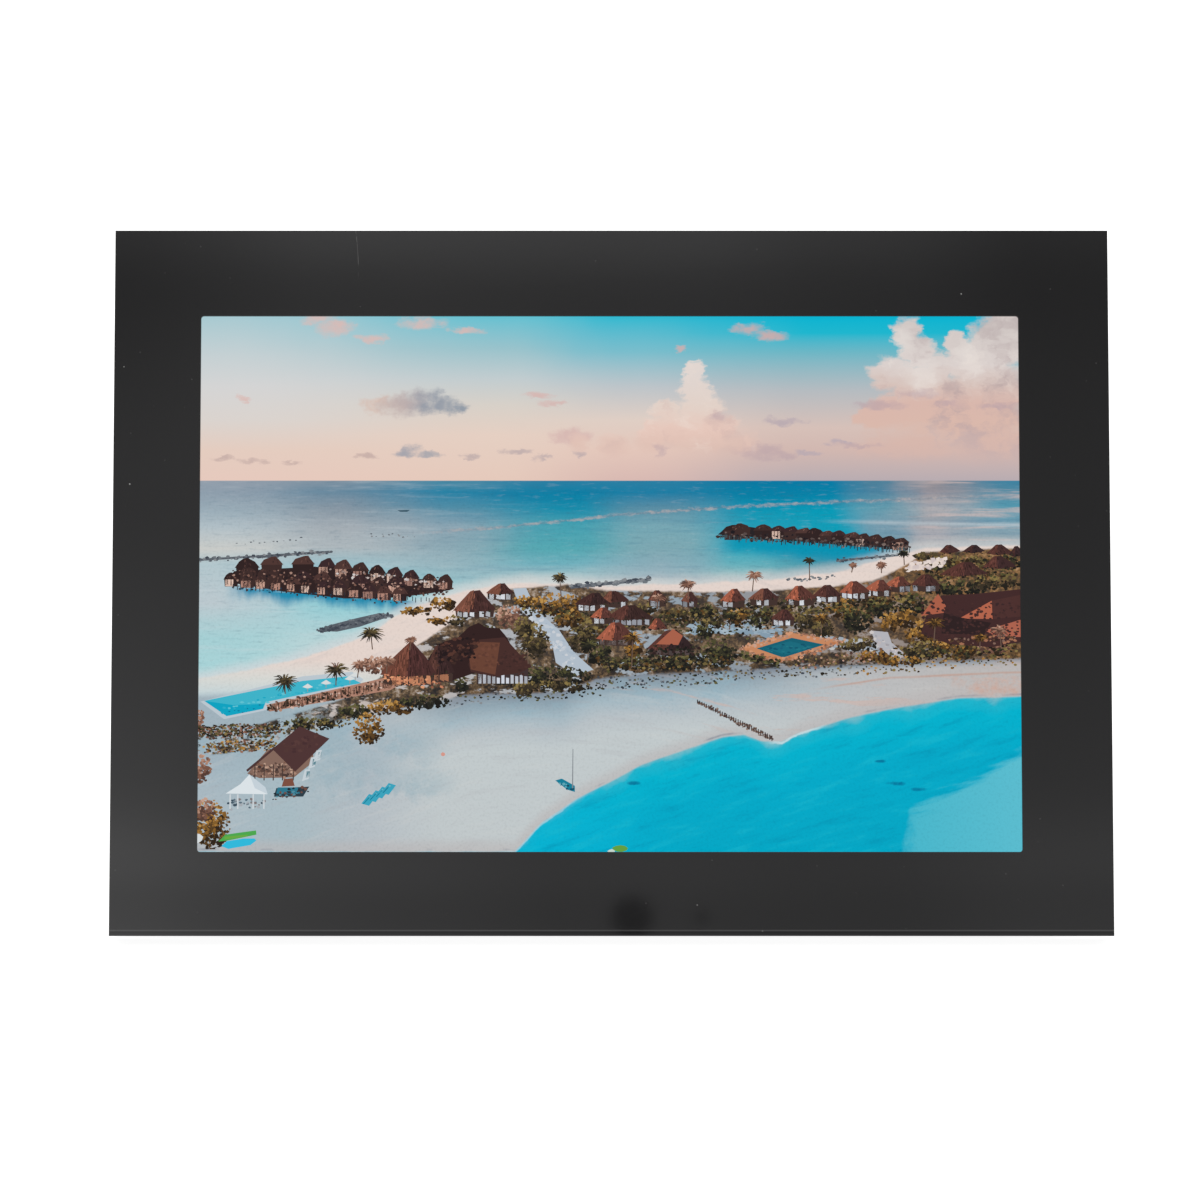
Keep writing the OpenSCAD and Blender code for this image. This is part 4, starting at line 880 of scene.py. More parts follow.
def mark_keys():
    """Pale printed symbol on the outer face of each key; seen from behind, x runs the other way."""
    print_white = tinted("key_print", (178, 180, 182), (206, 208, 208), 0.8, 0.5)
    for key, outlines in KEY_MARKS.items():
        lo, hi = local(key + "_button")
        middle_x, middle_z = (lo.x + hi.x) / 2, (lo.z + hi.z) / 2
        points, faces = [], []
        for outline in outlines:
            faces.append(tuple(range(len(points), len(points) + len(outline))))
            points += [at(middle_x - x, hi.y + 0.02, middle_z + z) for x, z in outline]
        mark = flat_piece(key + "_mark", points, faces, [print_white], body=key + "_key")


mark_keys()

# ------------------------------------------------------------------ what stands in the view

# How far shapes may reach past the picture's edge, where the face covers them
EDGE = 1.6


class Drawing:
    """Small flat shapes laid over the far view, each a little nearer than the one before.

    Layers run from 1, the farthest, to 5; shapes of one layer lie in the order they were drawn in.
    Large shapes get a bigger step in depth, so that they don't flicker through each other.
    """

    def __init__(self):
        self.tones = {}
        self.shapes = []

    def tone(self, *colour):
        """Number of a colour in the drawing's list of surfaces."""
        return self.tones.setdefault(colour, len(self.tones))

    def shape(self, points, colour, layer=1):
        self.shapes.append((layer, len(self.shapes), points, self.tone(*colour)))

    def blob(self, x, y, rx, ry, colour, layer=1, corners=7, rough=0.25):
        """Rough ellipse."""
        turn = rng.random() * 6.28
        self.shape([(
            x + rx * math.cos(turn + 6.283 * i / corners) * (1 + rng.uniform(-rough, rough)),
            y + ry * math.sin(turn + 6.283 * i / corners) * (1 + rng.uniform(-rough, rough))
        ) for i in range(corners)], colour, layer)

    def stroke(self, x0, y0, x1, y1, wide, colour, layer=1, tip=0.6):
        """Straight stroke that narrows to its tip."""
        long = max(math.hypot(x1 - x0, y1 - y0), 1e-6)
        nx, ny = -(y1 - y0) / long * wide / 2, (x1 - x0) / long * wide / 2
        self.shape([
            (x0 - nx, y0 - ny), (x1 - nx * tip, y1 - ny * tip), (x1 + nx * tip, y1 + ny * tip),
            (x0 + nx, y0 + ny)
        ], colour, layer)

    def make(self):
        """One mesh of all the shapes."""
        points, faces, numbers = [], [], []
        ordered = sorted(self.shapes, key=lambda entry: entry[:2])
        steps = []
        for entry in ordered:
            places = [x for x, y in entry[2]]
            steps.append(12 if max(places) - min(places) > 3 else 1)
        whole = sum(steps)
        height = 0
        for step, (_, _, outline, tone) in zip(steps, ordered):
            height += step
            raised = 0.03 + 0.5 * height / whole
            faces.append(tuple(range(len(points), len(points) + len(outline))))
            for x, y in outline:
                inside_x = min(max(x, -EDGE), PIC_W + EDGE)
                inside_y = min(max(y, -EDGE), PIC_H + EDGE)
                points.append(on_picture(inside_x, inside_y, raised))
            numbers.append(tone)
        surfaces = []
        for colour in self.tones:
            s = glowing("view_tone")
            s.set("Emission Color", linear(*colour))
            surfaces.append(s)
        piece = flat_piece("view_details", points, faces, surfaces, numbers)


LEAF = [(38, 34, 28), (58, 50, 38), (82, 70, 48), (108, 94, 58), (134, 116, 70)]
GOLD = [(48, 36, 26), (88, 64, 36), (128, 92, 44), (160, 116, 56), (184, 142, 78)]
SHADE = [(28, 27, 25), (38, 38, 32), (54, 52, 38), (76, 74, 46), (100, 96, 60)]
BLUSH = [(84, 60, 52), (118, 84, 70), (148, 108, 90), (176, 136, 116), (196, 158, 138)]
STONE = [(64, 70, 80), (88, 94, 102), (110, 116, 122), (132, 136, 140)]
ROOF = [(48, 34, 34), (62, 44, 42), (78, 54, 50), (58, 40, 42)]


def dimmed(colour, amount):
    """The colour made darker or lighter as a whole."""
    return tuple(min(int(c * amount), 255) for c in colour)


def row(count, start, end, shake=0.25):
    """Points spread evenly from start to end, a little shaken."""
    for i in range(count):
        f = (i + 0.5) / count
        yield (
            start[0] + (end[0] - start[0]) * f + rng.uniform(-shake, shake),
            start[1] + (end[1] - start[1]) * f + rng.uniform(-shake, shake) * 0.7
        )


def strew(d, start, end, count, spread, size, palette, layer=3, flat=0.75):
    """Dabs strewn along a line."""
    for x, y in row(count, start, end, 0.6):
        reach = size * rng.uniform(0.6, 1.4)
        d.blob(x, y + rng.uniform(-spread, spread), reach, reach * flat, rng.choice(palette), layer, 5, 0.4)


def bush(d, x, y, wide, high, palette):
    """Clump of leaves, dark low down and lighter on top and to the left, over a ragged dark heart."""
    for _ in range(int(wide * high * 0.22) + 2):
        d.blob(
            x + rng.uniform(-0.34, 0.34) * wide, y + rng.uniform(-0.34, 0.2) * high, rng.uniform(0.5, 1.3),
            rng.uniform(0.4, 0.9), palette[rng.randrange(2)], 3, 7, 0.4
        )
    for _ in range(int(wide * high * 2.4) + 8):
        turn, far = rng.random() * 6.283, rng.random() ** 0.6
        px = x + math.cos(turn) * far * wide / 2
        py = y + math.sin(turn) * far * high / 2
        lift = (py - y) / high * 0.9 - (px - x) / wide * 0.35 + 0.42 + rng.uniform(-0.32, 0.32)
        tone = palette[min(max(int(lift * len(palette)), 0), len(palette) - 1)]
        size = rng.uniform(0.18, 0.5)
        d.blob(px, py, size, size * rng.uniform(0.6, 1.3), tone, 3, 5, 0.5)


def palm(d, x, y, tall, spread, palette):
    """Palm with its foot at (x, y): a lean trunk under a bushy crown of drooping fronds."""
    layer = 5
    fronds = 44
    top = x + rng.uniform(-0.5, 0.5)
    d.stroke(x, y, top, y + tall, 0.3, (104, 84, 72), layer, 0.7)
    for i in range(fronds):
        turn = math.pi * 2 * i / fronds + rng.uniform(-0.2, 0.2)
        reach = spread * rng.uniform(0.4, 1.1)
        mx = top + math.cos(turn) * reach * 0.6
        my = y + tall + math.sin(turn) * reach * 0.46
        tone = palette[min(int(rng.random() * (1.6 + math.sin(turn)) * 2.2), len(palette) - 1)]
        d.stroke(top, y + tall, mx, my, 0.36, tone, layer, 0.8)
        d.stroke(
            mx, my, top + math.cos(turn) * reach, y + tall + math.sin(turn) * reach * 0.66 - reach * 0.14,
            0.3, tone, layer, 0.3
        )
    for _ in range(10):
        d.blob(
            top + rng.uniform(-0.3, 0.3) * spread, y + tall + rng.uniform(-0.3, 0.16) * spread, 0.4, 0.3,
            rng.choice(palette[:3]), layer, 5, 0.4
        )


def house(d, x, y, wide, high, lit, low, wall, ridge=0.22, deep=1.7):
    """Thatched house: (x, y) is the middle of its eaves; the left slope catches the light."""
    layer = 4
    half, top = wide / 2, wide * ridge / 2
    peak = x + rng.uniform(-0.08, 0.08) * wide
    if wall:
        d.shape([
            (x - half * 0.85, y - deep * 0.9), (x, y - deep * 1.1), (x + half * 0.85, y - deep),
            (x + half * 0.9, y + 0.3), (x - half * 0.9, y + 0.3)
        ], (66, 50, 46), layer)
        step = 1.5
        for i in range(int(wide * 0.84 / step)):
            px = x - half * 0.84 + step * (i + rng.uniform(0, 0.4))
            if rng.random() < 0.82:
                d.shape([
                    (px, y - deep * rng.uniform(0.75, 1.05)), (px + step * 0.76, y - deep),
                    (px + step * 0.76, y - 0.3), (px, y - 0.2)
                ], dimmed(wall, rng.choice((0.8, 0.92, 1.0))), layer)
    cut = x - half * rng.uniform(0.0, 0.3)
    eaves = [(x - half, y), (cut, y - 0.5), (x + half, y + rng.uniform(-0.2, 0.3))]
    d.shape(
        eaves + [(x + half * 0.62, y + high * 0.5), (peak + top, y + high), (peak - top, y + high * 0.94)],
        low, layer
    )
    d.shape([
        eaves[0], eaves[1], (peak - top * 0.2, y + high), (peak - top, y + high * 0.94),
        (x - half * 0.66, y + high * 0.42)
    ], lit, layer)
    for _ in range(int(wide * high * 1.5) + 3):
        f, lift = rng.random(), rng.uniform(0.05, 0.85)
        px = peak + (f - 0.5) * wide * (1 - lift) * 0.9
        py = y + lift * high
        base = lit if f < 0.45 else low
        tone = dimmed(base, rng.choice((0.7, 0.82, 1.14, 1.26)))
        d.stroke(px, py, px + (f - 0.5) * 0.7, py - high * 0.2, 0.24, tone, layer, 0.6)
    strew(
        d, (x - half, y - 0.3), (x + half, y - 0.3), int(wide * 1.2), 0.25, 0.24, SHADE[:3] + [low], layer
    )


def stilt_house(d, x, y, size, lit, layer=3, steep=1.0):
    """Thatched house on stilts over the sea: dark, with a glimpse of a lit wall."""
    half = size * rng.uniform(0.42, 0.5)
    high = size * rng.uniform(0.36, 0.46) * steep
    roof = rng.choice(ROOF)
    d.shape([
        (x - half * 0.8, y - size * 0.42), (x + half * 0.8, y - size * 0.42), (x + half * 0.9, y + 0.1),
        (x - half * 0.9, y + 0.1)
    ], rng.choice(ROOF[:2]), layer)
    if rng.random() < lit:
        left, right = x - half * rng.uniform(0.7, 0.9), x + half * rng.uniform(0.05, 0.5)
        d.shape(
            [(left, y - size * 0.4), (right, y - size * 0.42), (right, y - 0.1), (left, y)],
            rng.choice([(206, 164, 146), (184, 140, 124), (220, 190, 174), (162, 124, 112)]), layer
        )
        for f in (0.3, 0.72):
            px = left + (right - left) * f
            d.stroke(px, y, px, y - size * 0.36, 0.26, (70, 50, 48), layer, 1)
    peak = x + rng.uniform(-0.12, 0.12) * size
    d.shape([
        (x - half, y - 0.15), (x + half, y - 0.1), (x + half * 0.6, y + high * 0.62),
        (peak + half * 0.16, y + high), (peak - half * 0.16, y + high * 0.96),
        (x - half * 0.66, y + high * 0.6)
    ], roof, layer)
    for _ in range(7):
        f, lift = rng.uniform(-0.7, 0.7), rng.uniform(0.1, 0.8)
        px = peak + f * half * (1 - lift)
        tone = rng.choice([(104, 74, 66), (84, 58, 54), (44, 32, 34), (128, 92, 80)] if f < 0 else ROOF)
        d.stroke(px, y + lift * high, px + f * 0.6, y + (lift - 0.25) * high, 0.26, tone, layer, 0.6)


def draw_far_water(d):
    """Breakwaters, jetty and the two groups of houses on stilts."""
    for start, end, count, spread, size in (
        ((-1, 76.3), (17, 77.4), 40, 0.2, 0.42), ((15, 77.2), (34.6, 78.5), 46, 0.25, 0.5),
        ((9, 80.6), (27, 82), 12, 0.4, 0.3), ((44, 82.9), (56, 82.7), 12, 0.2, 0.3),
        ((97, 69.2), (118, 71.2), 70, 0.35, 0.6), ((166.6, 76.1), (183, 77.6), 44, 0.22, 0.4),
        ((154, 71), (166, 71.8), 26, 0.25, 0.4)
    ):
        if count > 30:
            d.stroke(*start, *end, size * 1.5, STONE[1], 1, 0.8)
        strew(d, start, end, count, spread, size, STONE, 1, 0.6)
    d.shape(
        [(30.4, 57.7), (36, 57.5), (42, 58.8), (51, 61.9), (47, 62.4), (40, 60.8), (34, 59.2)], STONE[1], 2
    )
    strew(d, (31.6, 58.0), (50.4, 62.0), 90, 0.5, 0.5, STONE[:3], 2, 0.6)
    strew(d, (31, 57.5), (40, 59.6), 30, 0.3, 0.5, STONE[:2], 2, 0.6)
    # left group: shade between its rows first, then the far row, then the near one
    d.shape([
        (6.6, 70.6), (9, 73.4), (30, 74.6), (48, 72.2), (65.4, 70.6), (65.6, 68.4), (58, 67.2), (48, 66.2),
        (38, 66.2), (22, 68)
    ], ROOF[0], 2)
    for x, y, size in ((12.4, 74.4, 7.0), (18.8, 75.2, 6.8), (27.0, 75.3, 7.2)):
        stilt_house(d, x, y, size, 0.3, 2, 0.8)
    for i, (x, y) in enumerate(row(8, (31, 74.9), (66.6, 70.2))):
        stilt_house(d, x, y, 5.4 - i * 0.1, 1.0, 2)
    strew(d, (34, 73.2), (64, 69.8), 30, 0.6, 0.4, [(190, 176, 172), (150, 130, 124), (206, 200, 198)], 2)
    for x, y in row(9, (10, 72.8), (54, 69.4)):
        stilt_house(d, x, y, 5.4, 0.25, 2)
    for x, y in reversed(list(row(12, (6.4, 71.6), (54.6, 67.3)))):
        stilt_house(d, x, y, 4.7, 1.0, 3)
    strew(d, (8, 69.4), (54, 65.0), 70, 0.4, 0.3, ROOF + [(28, 80, 104)], 3)
    strew(
        d, (9, 72.6), (64, 69.6), 260, 2.0, 0.3,
        ROOF + [(128, 94, 82), (40, 30, 32), (36, 30, 34), (104, 74, 66), (168, 134, 120)], 3
    )
    strew(d, (54, 67), (66, 68.2), 26, 0.7, 0.4, ROOF + [(96, 70, 62)], 3)
    for x, y in row(46, (8, 69.5), (62, 65.6)):
        d.stroke(x, y + 0.6, x, y - rng.uniform(0.4, 1.0), 0.2, (40, 44, 54), 3, 1)
    # right group: one long dark crowd of roofs
    d.shape([
        (135.6, 83), (138, 85), (142, 85.3), (150, 84.2), (166, 83), (184.8, 80.8), (185.4, 79.4),
        (172, 79.9), (160, 80.9), (146, 82.2)
    ], (40, 34, 38), 2)
    for x, y in ((139.6, 83.9), (141.8, 84.2), (147.6, 83.9)):
        stilt_house(d, x, y + 0.3, 6.2, 0.1, 2, 0.6)
    for x, y in row(11, (150, 84.3), (185, 81.0)):
        stilt_house(d, x, y, 5.2, 0.2, 3, 0.6)
    strew(
        d, (136, 83), (186, 79.8), 170, 0.8, 0.42,
        [(30, 26, 32), (46, 38, 40), (60, 48, 48), (88, 74, 72), (120, 104, 98)], 3
    )
    for x, y in row(90, (136, 82.4), (186, 78.8)):
        d.stroke(
            x, y + 0.6, x, y - rng.uniform(0.2, 1.0), 0.24, rng.choice([(38, 50, 56), (70, 90, 96)]), 3, 1
        )
    d.shape([(51.6, 89.4), (52.4, 89.0), (54.2, 89.0), (55, 89.5)], (56, 84, 100), 2)


def draw_pools(d):
    """The long pool with its deck and shades, and the blue pool with its orange terrace."""
    d.shape(
        [(0.4, 39.2), (6.6, 34.6), (18.6, 37.2), (41.4, 43.4), (43, 45), (40, 47), (27, 45.8)],
        (186, 198, 206), 1
    )
    d.shape([
        (1.4, 39.4), (7.3, 35.4), (16.8, 37.3), (17.5, 39.1), (37.3, 43.2), (42.4, 44.0), (38.7, 45.8),
        (27, 44.6)
    ], (62, 178, 200), 2)
    d.shape([(1.4, 39.4), (7.3, 35.4), (16.8, 37.3), (17.2, 38.6), (9, 38.3)], (12, 162, 192), 2)
    strew(d, (6, 37), (38, 44.4), 40, 0.7, 0.5, [(26, 164, 192), (96, 192, 208), (46, 172, 198)], 2, 0.5)
    strew(d, (8, 36), (16, 37.6), 7, 0.5, 0.34, [(10, 110, 148)], 2, 0.5)
    d.shape(
        [(17.6, 38.3), (18.6, 36.6), (50, 42.2), (56, 45.6), (50.5, 45.9), (38, 43.0)], (172, 128, 110), 2
    )
    strew(d, (18, 37.4), (52, 44.2), 260, 1.1, 0.38, BLUSH[:4] + LEAF[:2] + [(210, 182, 168)], 2)
    for x, y in row(60, (19, 37.6), (52, 44.4), 0.4):
        d.stroke(x, y - 0.8, x, y + 0.9, 0.22, rng.choice(BLUSH[:2] + LEAF[:1]), 3, 0.8)
    for x, y in ((28.4, 43.2), (33.2, 44.2), (39.4, 45.3), (40.8, 46.2)):
        d.shape([(x - 1.4, y - 0.2), (x, y - 0.6), (x + 1.4, y - 0.2), (x, y + 0.7)], (214, 218, 218), 3)
        d.stroke(x, y - 0.5, x, y - 1.4, 0.2, (150, 150, 150), 3, 1)
    d.shape([(141.3, 53.1), (154.9, 57.2), (168.8, 55.0), (151.2, 49.4)], (196, 134, 96), 2)
    d.shape([(145.7, 53.1), (154.9, 55.9), (163.4, 54.1), (152.6, 50.7)], (22, 96, 114), 2)
    d.shape([(148.0, 53.2), (154.4, 55.0), (160.6, 53.5), (153, 51.5)], (26, 106, 124), 2)
    strew(d, (148, 52.6), (160, 53.6), 30, 1.0, 0.5, [(34, 116, 130), (16, 82, 104), (24, 94, 118)], 2, 0.4)
    strew(d, (143, 52.0), (152, 49.9), 50, 0.3, 0.4, BLUSH[1:4] + [(206, 150, 116), (180, 116, 80)], 3)
    strew(d, (153, 50.0), (167, 54.4), 70, 0.4, 0.4, BLUSH[1:4] + [(206, 150, 116), (180, 116, 80)], 3)
    strew(d, (141, 53.0), (155, 57.0), 50, 0.4, 0.42, BLUSH[2:] + [(206, 150, 116)], 3)
    strew(d, (156, 57), (169, 54.8), 30, 0.4, 0.42, BLUSH[2:] + [(206, 150, 116)], 3)
    strew(d, (141.4, 51.6), (152, 49), 60, 0.8, 0.5, SHADE, 3)


def draw_houses(d):
    """Houses of the shore, far ones first."""
    brown, dark = (120, 76, 62), (68, 44, 42)
    rust, wine = (162, 92, 70), (88, 54, 48)
    white, grey = (214, 218, 224), (160, 164, 172)
    strew(
        d, (128, 58.6), (152, 57.6), 90, 1.3, 0.9, [(150, 170, 184), (168, 184, 194), (132, 154, 170)], 1,
        0.5
    )
    strew(
        d, (160, 55.6), (180, 52.6), 70, 1.6, 0.8, [(176, 180, 186), (158, 168, 178), (190, 190, 190)], 1,
        0.5
    )
    for x, y, wide, high, lit, low, wall in (
        (196.4, 78.4, 5.6, 1.9, wine, dark, None), (202.6, 78.5, 6.0, 1.8, dark, (52, 38, 40), None),
        (209.4, 78.0, 7.0, 2.4, wine, dark, None), (213.8, 77.6, 4, 2.4, dark, (52, 38, 40), None),
        (200, 72.4, 13, 3.4, wine, dark, None), (209.4, 74.4, 9, 3.0, wine, (62, 42, 42), None),
        (190, 69.8, 8, 2.8, wine, dark, grey), (182.7, 69.6, 7.2, 2.4, rust, wine, grey),
        (177.6, 68.5, 7.6, 2.6, rust, wine, white), (171.4, 67.8, 8.2, 3.0, rust, wine, white),
        (164.2, 66.9, 7.8, 2.9, wine, dark, white), (157.2, 66.1, 8.2, 3.5, rust, wine, white),
        (147.6, 66.1, 8.2, 2.8, brown, dark, white), (139.6, 65.6, 6.8, 3.2, rust, wine, white),
        (128.2, 65.6, 4.6, 2.4, brown, dark, grey), (119.8, 65.8, 5.2, 2.6, brown, dark, grey),
        (108.6, 65.6, 7.8, 2.6, brown, dark, white), (102.8, 64.7, 9.6, 3.0, dark, (54, 38, 38), white),
        (78.6, 67.6, 7.4, 2.6, brown, dark, white), (72, 63, 11.4, 5.4, brown, dark, white),
        (112.4, 60.9, 13, 3.6, wine, (58, 40, 38), grey), (105.4, 61.3, 6.4, 2.6, rust, wine, white),
        (152.6, 60.8, 6.6, 2.6, wine, dark, white), (119.8, 58.4, 5, 2.6, rust, wine, None),
        (109, 55.6, 10.6, 4.4, rust, wine, (120, 108, 106)),
        (123.4, 53, 13, 5.0, wine, (50, 36, 38), (90, 78, 78))
    ):
        house(d, x, y, wide, high, lit, low, wall)
    d.shape([(119.4, 54.2), (123.8, 58.2), (126.4, 56.4), (125.2, 54)], (166, 96, 74), 4)
    strew(d, (117, 52), (131, 52), 90, 2.0, 0.4, SHADE[:3] + ROOF[:1], 4)
    # the large roofs on the left, with lit walls
    d.shape([
        (58, 47), (60.6, 51.6), (64.2, 55), (67.4, 55.8), (70.6, 58.8), (73, 59.8), (75, 58.6),
        (78.4, 58.4), (80.4, 56), (82, 53), (76, 48), (66, 44.6)
    ], (50, 33, 33), 4)
    house(d, 62.8, 46.6, 8, 7.4, (84, 54, 48), (56, 38, 38), (204, 138, 104), 0.2, 2.2)
    house(d, 54.8, 46.2, 15, 8.8, (108, 66, 54), (74, 46, 44), (214, 146, 108), 0.06, 2.6)
    d.shape([(72.6, 43.8), (86, 44.4), (86, 48), (72.6, 47.4)], (64, 50, 50), 4)
    for i in range(11):
        px = 73 + i * 1.2
        tall = rng.uniform(1.4, 2.7)
        d.shape(
            [(px, 43.9), (px + 0.8, 43.9), (px + 0.8, 43.9 + tall), (px, 44 + tall)],
            dimmed((206, 210, 220), rng.choice((0.8, 0.9, 1))), 4
        )
    d.shape(
        [(70.4, 49), (73.2, 55.4), (79.8, 56), (83, 52.4), (87, 48.4), (84, 46.8), (77, 45.7), (71, 47)],
        (70, 45, 42), 4
    )
    d.shape([(70.6, 50.4), (73.4, 54.8), (78.6, 54.6), (77.4, 46.2), (71, 47.6)], (104, 66, 52), 4)
    strew(d, (72, 51), (78, 51), 60, 3.4, 0.4, [(98, 62, 50), (110, 70, 56), (92, 58, 48)], 4)
    strew(d, (79, 50), (86, 48.4), 50, 2.6, 0.4, [(66, 43, 40), (76, 49, 45), (60, 40, 38)], 4)
    strew(
        d, (62, 51.6), (72, 53.6), 90, 3.0, 0.5, [(44, 30, 30), (62, 42, 38), (84, 54, 46), (36, 26, 28)], 4
    )
    strew(
        d, (48, 45.4), (64, 43.4), 60, 0.8, 0.36,
        [(222, 156, 116), (150, 92, 70), (196, 128, 96), (92, 60, 52)], 4
    )
    # the large roofs on the right, with glowing slopes
    d.shape([
        (188.6, 57), (190.2, 62.2), (194, 67), (203, 67.4), (214.6, 68.6), (216.4, 55), (207, 53.4),
        (196, 54.2)
    ], (66, 42, 42), 4)
    for outline, colour in (
        ([(188.6, 61.6), (193.2, 67.4), (195.2, 64.2), (194.6, 62.4)], (168, 94, 72)),
        ([(198.6, 60.9), (207.2, 65.6), (207.4, 60.8)], (178, 100, 76)),
        ([(205.4, 57.8), (216, 61), (216, 56), (208, 56.4)], (172, 98, 78)),
        ([(207.2, 65.6), (216, 67.4), (216, 61.6), (207.6, 60.8)], (76, 48, 46)),
        ([(194.6, 62.4), (199, 61.2), (207, 59.8), (205, 56.6), (194, 57)], (46, 33, 34))
    ):
        d.shape(outline, colour, 4)
    strew(d, (189, 60), (214, 60), 220, 5.4, 0.4, [(72, 46, 44), (58, 39, 40), (66, 43, 42)], 4)
    strew(
        d, (196, 54.8), (214, 56.4), 60, 1.2, 0.4,
        [(128, 100, 88), (52, 38, 34), (88, 64, 48), (160, 110, 84)], 4
    )


def draw_growth(d):
    """Bushes, hedges and palms."""
    for x, y, wide, high, palette in (
        (57, 62.9, 9, 2.2, GOLD), (63.6, 64.8, 6.4, 3.6, GOLD), (62.6, 60.4, 6, 2.4, GOLD),
        (67.6, 60.6, 5, 3, LEAF), (81, 61.4, 7, 6.4, BLUSH), (84.6, 58.4, 5, 6, LEAF),
        (85.6, 65.4, 7, 3.4, GOLD), (93.6, 64.6, 15, 6, GOLD), (88, 55, 7, 9.4, LEAF),
        (100.6, 57, 9.4, 10.6, LEAF), (96.6, 61, 7, 5, GOLD), (104.6, 51.6, 7, 6, SHADE),
        (88.4, 45.8, 29, 6, SHADE), (92, 43.2, 22, 2.8, LEAF), (84.6, 42, 4.6, 4, LEAF),
        (74.6, 57.6, 6, 3, SHADE), (60, 47.6, 5, 3.6, GOLD), (68.6, 43.8, 3, 5, SHADE),
        (46, 48.6, 10, 4.4, BLUSH), (41, 36.4, 10, 3.8, SHADE), (50, 37.6, 12, 4, GOLD),
        (59.6, 39.2, 14, 3.6, SHADE), (30, 33.4, 16, 3.0, SHADE), (44.4, 32, 8.4, 8.6, GOLD),
        (3.4, 7, 10, 13, GOLD), (1.4, 11, 6, 6, BLUSH), (1, 21.6, 4.6, 7.4, BLUSH),
        (0.2, 34, 2.6, 8, BLUSH), (131.6, 62.8, 8, 4.4, SHADE), (140.6, 61.6, 6, 5.6, GOLD),
        (147.6, 61, 8, 5, SHADE), (158, 60.6, 9, 6, LEAF), (168, 63.6, 9, 6.6, GOLD),
        (172, 60.4, 8, 7, SHADE), (163, 58.4, 6, 5, LEAF), (178, 63.8, 9, 6, SHADE),
        (186.4, 64.8, 8, 6, SHADE), (180.4, 60, 5, 5, GOLD), (197, 69, 20, 4, SHADE),
        (208, 70.6, 14, 4, LEAF), (198, 75.6, 20, 4, LEAF), (190, 77.4, 6, 2.4, LEAF),
        (211, 76, 8, 4, SHADE), (189.6, 57, 10, 7, GOLD), (184.6, 61, 7, 5, GOLD),
        (197, 53.4, 14, 5.6, GOLD), (189, 52.6, 10, 5, LEAF), (183, 49.8, 12, 2.6, GOLD),
        (207, 54.2, 10, 5.4, BLUSH), (172, 54, 10, 4, LEAF), (176, 51, 9, 3.4, GOLD),
        (135.4, 51.6, 10, 7, SHADE), (132, 57.6, 5, 4, SHADE), (124.6, 49.6, 16, 4.4, SHADE),
        (112, 49.2, 14, 4, SHADE), (116.4, 63.6, 7, 3, LEAF), (124.6, 62, 8, 3.6, LEAF),
        (134, 60, 6, 3, LEAF), (113.6, 53, 4.6, 5, GOLD)
    ):
        bush(d, x, y, wide, high, palette)
    # shade and leaves under the rows of houses
    undergrowth = SHADE[:4] + LEAF + GOLD[:2]
    for start, end, count, rise in (
        ((137, 62.6), (188, 65.4), 420, 1.9), ((104, 59), (136, 61.6), 240, 1.8),
        ((84, 63.6), (106, 60.4), 120, 1.6), ((104, 49), (140, 50), 220, 1.8),
        ((180, 51.4), (214, 53), 160, 1.6), ((188, 73), (214, 74.6), 220, 2.4)
    ):
        strew(d, start, end, count, rise, 0.46, undergrowth)
    # low plants in lines along the sand
    for start, end, count, rise, palette in (
        ((0, 31.2), (21, 31.8), 420, 1.6, SHADE[:4] + LEAF + BLUSH[:3]),
        ((2, 27), (20, 28), 260, 1.3, LEAF + GOLD + BLUSH[:3]), ((20, 31.6), (40, 34.6), 90, 1.4, LEAF),
        ((66, 39.6), (84, 41), 24, 0.9, SHADE), ((84, 40), (106, 42.4), 60, 1.2, SHADE),
        ((104, 44), (136, 45.2), 130, 1.5, SHADE + STONE), ((134, 46), (172, 47.6), 130, 1.4, LEAF + STONE),
        ((172, 47.6), (214, 50.4), 110, 1.3, GOLD + LEAF), ((126, 58.2), (150, 59.4), 70, 1.2, SHADE),
        ((127, 55.8), (146, 57), 34, 1.4, SHADE), ((156, 49), (178, 51), 90, 1.6, LEAF + BLUSH),
        ((66, 38.2), (76, 39.4), 8, 0.6, STONE)
    ):
        strew(d, start, end, count, rise, 0.34, palette)
    for x, y, tall, spread, palette in (
        (45.3, 52.8, 4.4, 3.6, LEAF[:4]), (35.8, 43.4, 4.2, 3.4, LEAF[:4] + BLUSH[:2]),
        (22.6, 41.2, 3.4, 3.6, LEAF[:4]), (41.4, 45.4, 3.4, 2.6, BLUSH), (49, 46.6, 3.2, 2.6, BLUSH[:4]),
        (94.6, 66.4, 5.4, 2.2, LEAF), (127.8, 66, 4, 2.6, BLUSH), (144.6, 68, 4.4, 2.4, BLUSH[1:]),
        (159.6, 71, 5.2, 1.7, SHADE), (178.4, 72.8, 2.2, 1.7, BLUSH[:3]), (184.4, 75, 3, 1.6, SHADE),
        (113, 48, 8, 3, GOLD), (119.6, 63.4, 3, 2, BLUSH), (86, 49, 5, 2.6, LEAF), (101.4, 49, 5, 3, SHADE),
        (192, 55, 5, 2.6, GOLD), (209.6, 53, 5, 2.6, BLUSH), (170.6, 73, 2, 1.4, BLUSH[:3]),
        (55, 52.6, 2.8, 1.8, BLUSH[:3]), (138.6, 58, 3.6, 2, SHADE), (162.6, 57, 4, 2.4, GOLD),
        (204, 53, 3, 2, GOLD)
    ):
        palm(d, x, y, tall, spread, palette)


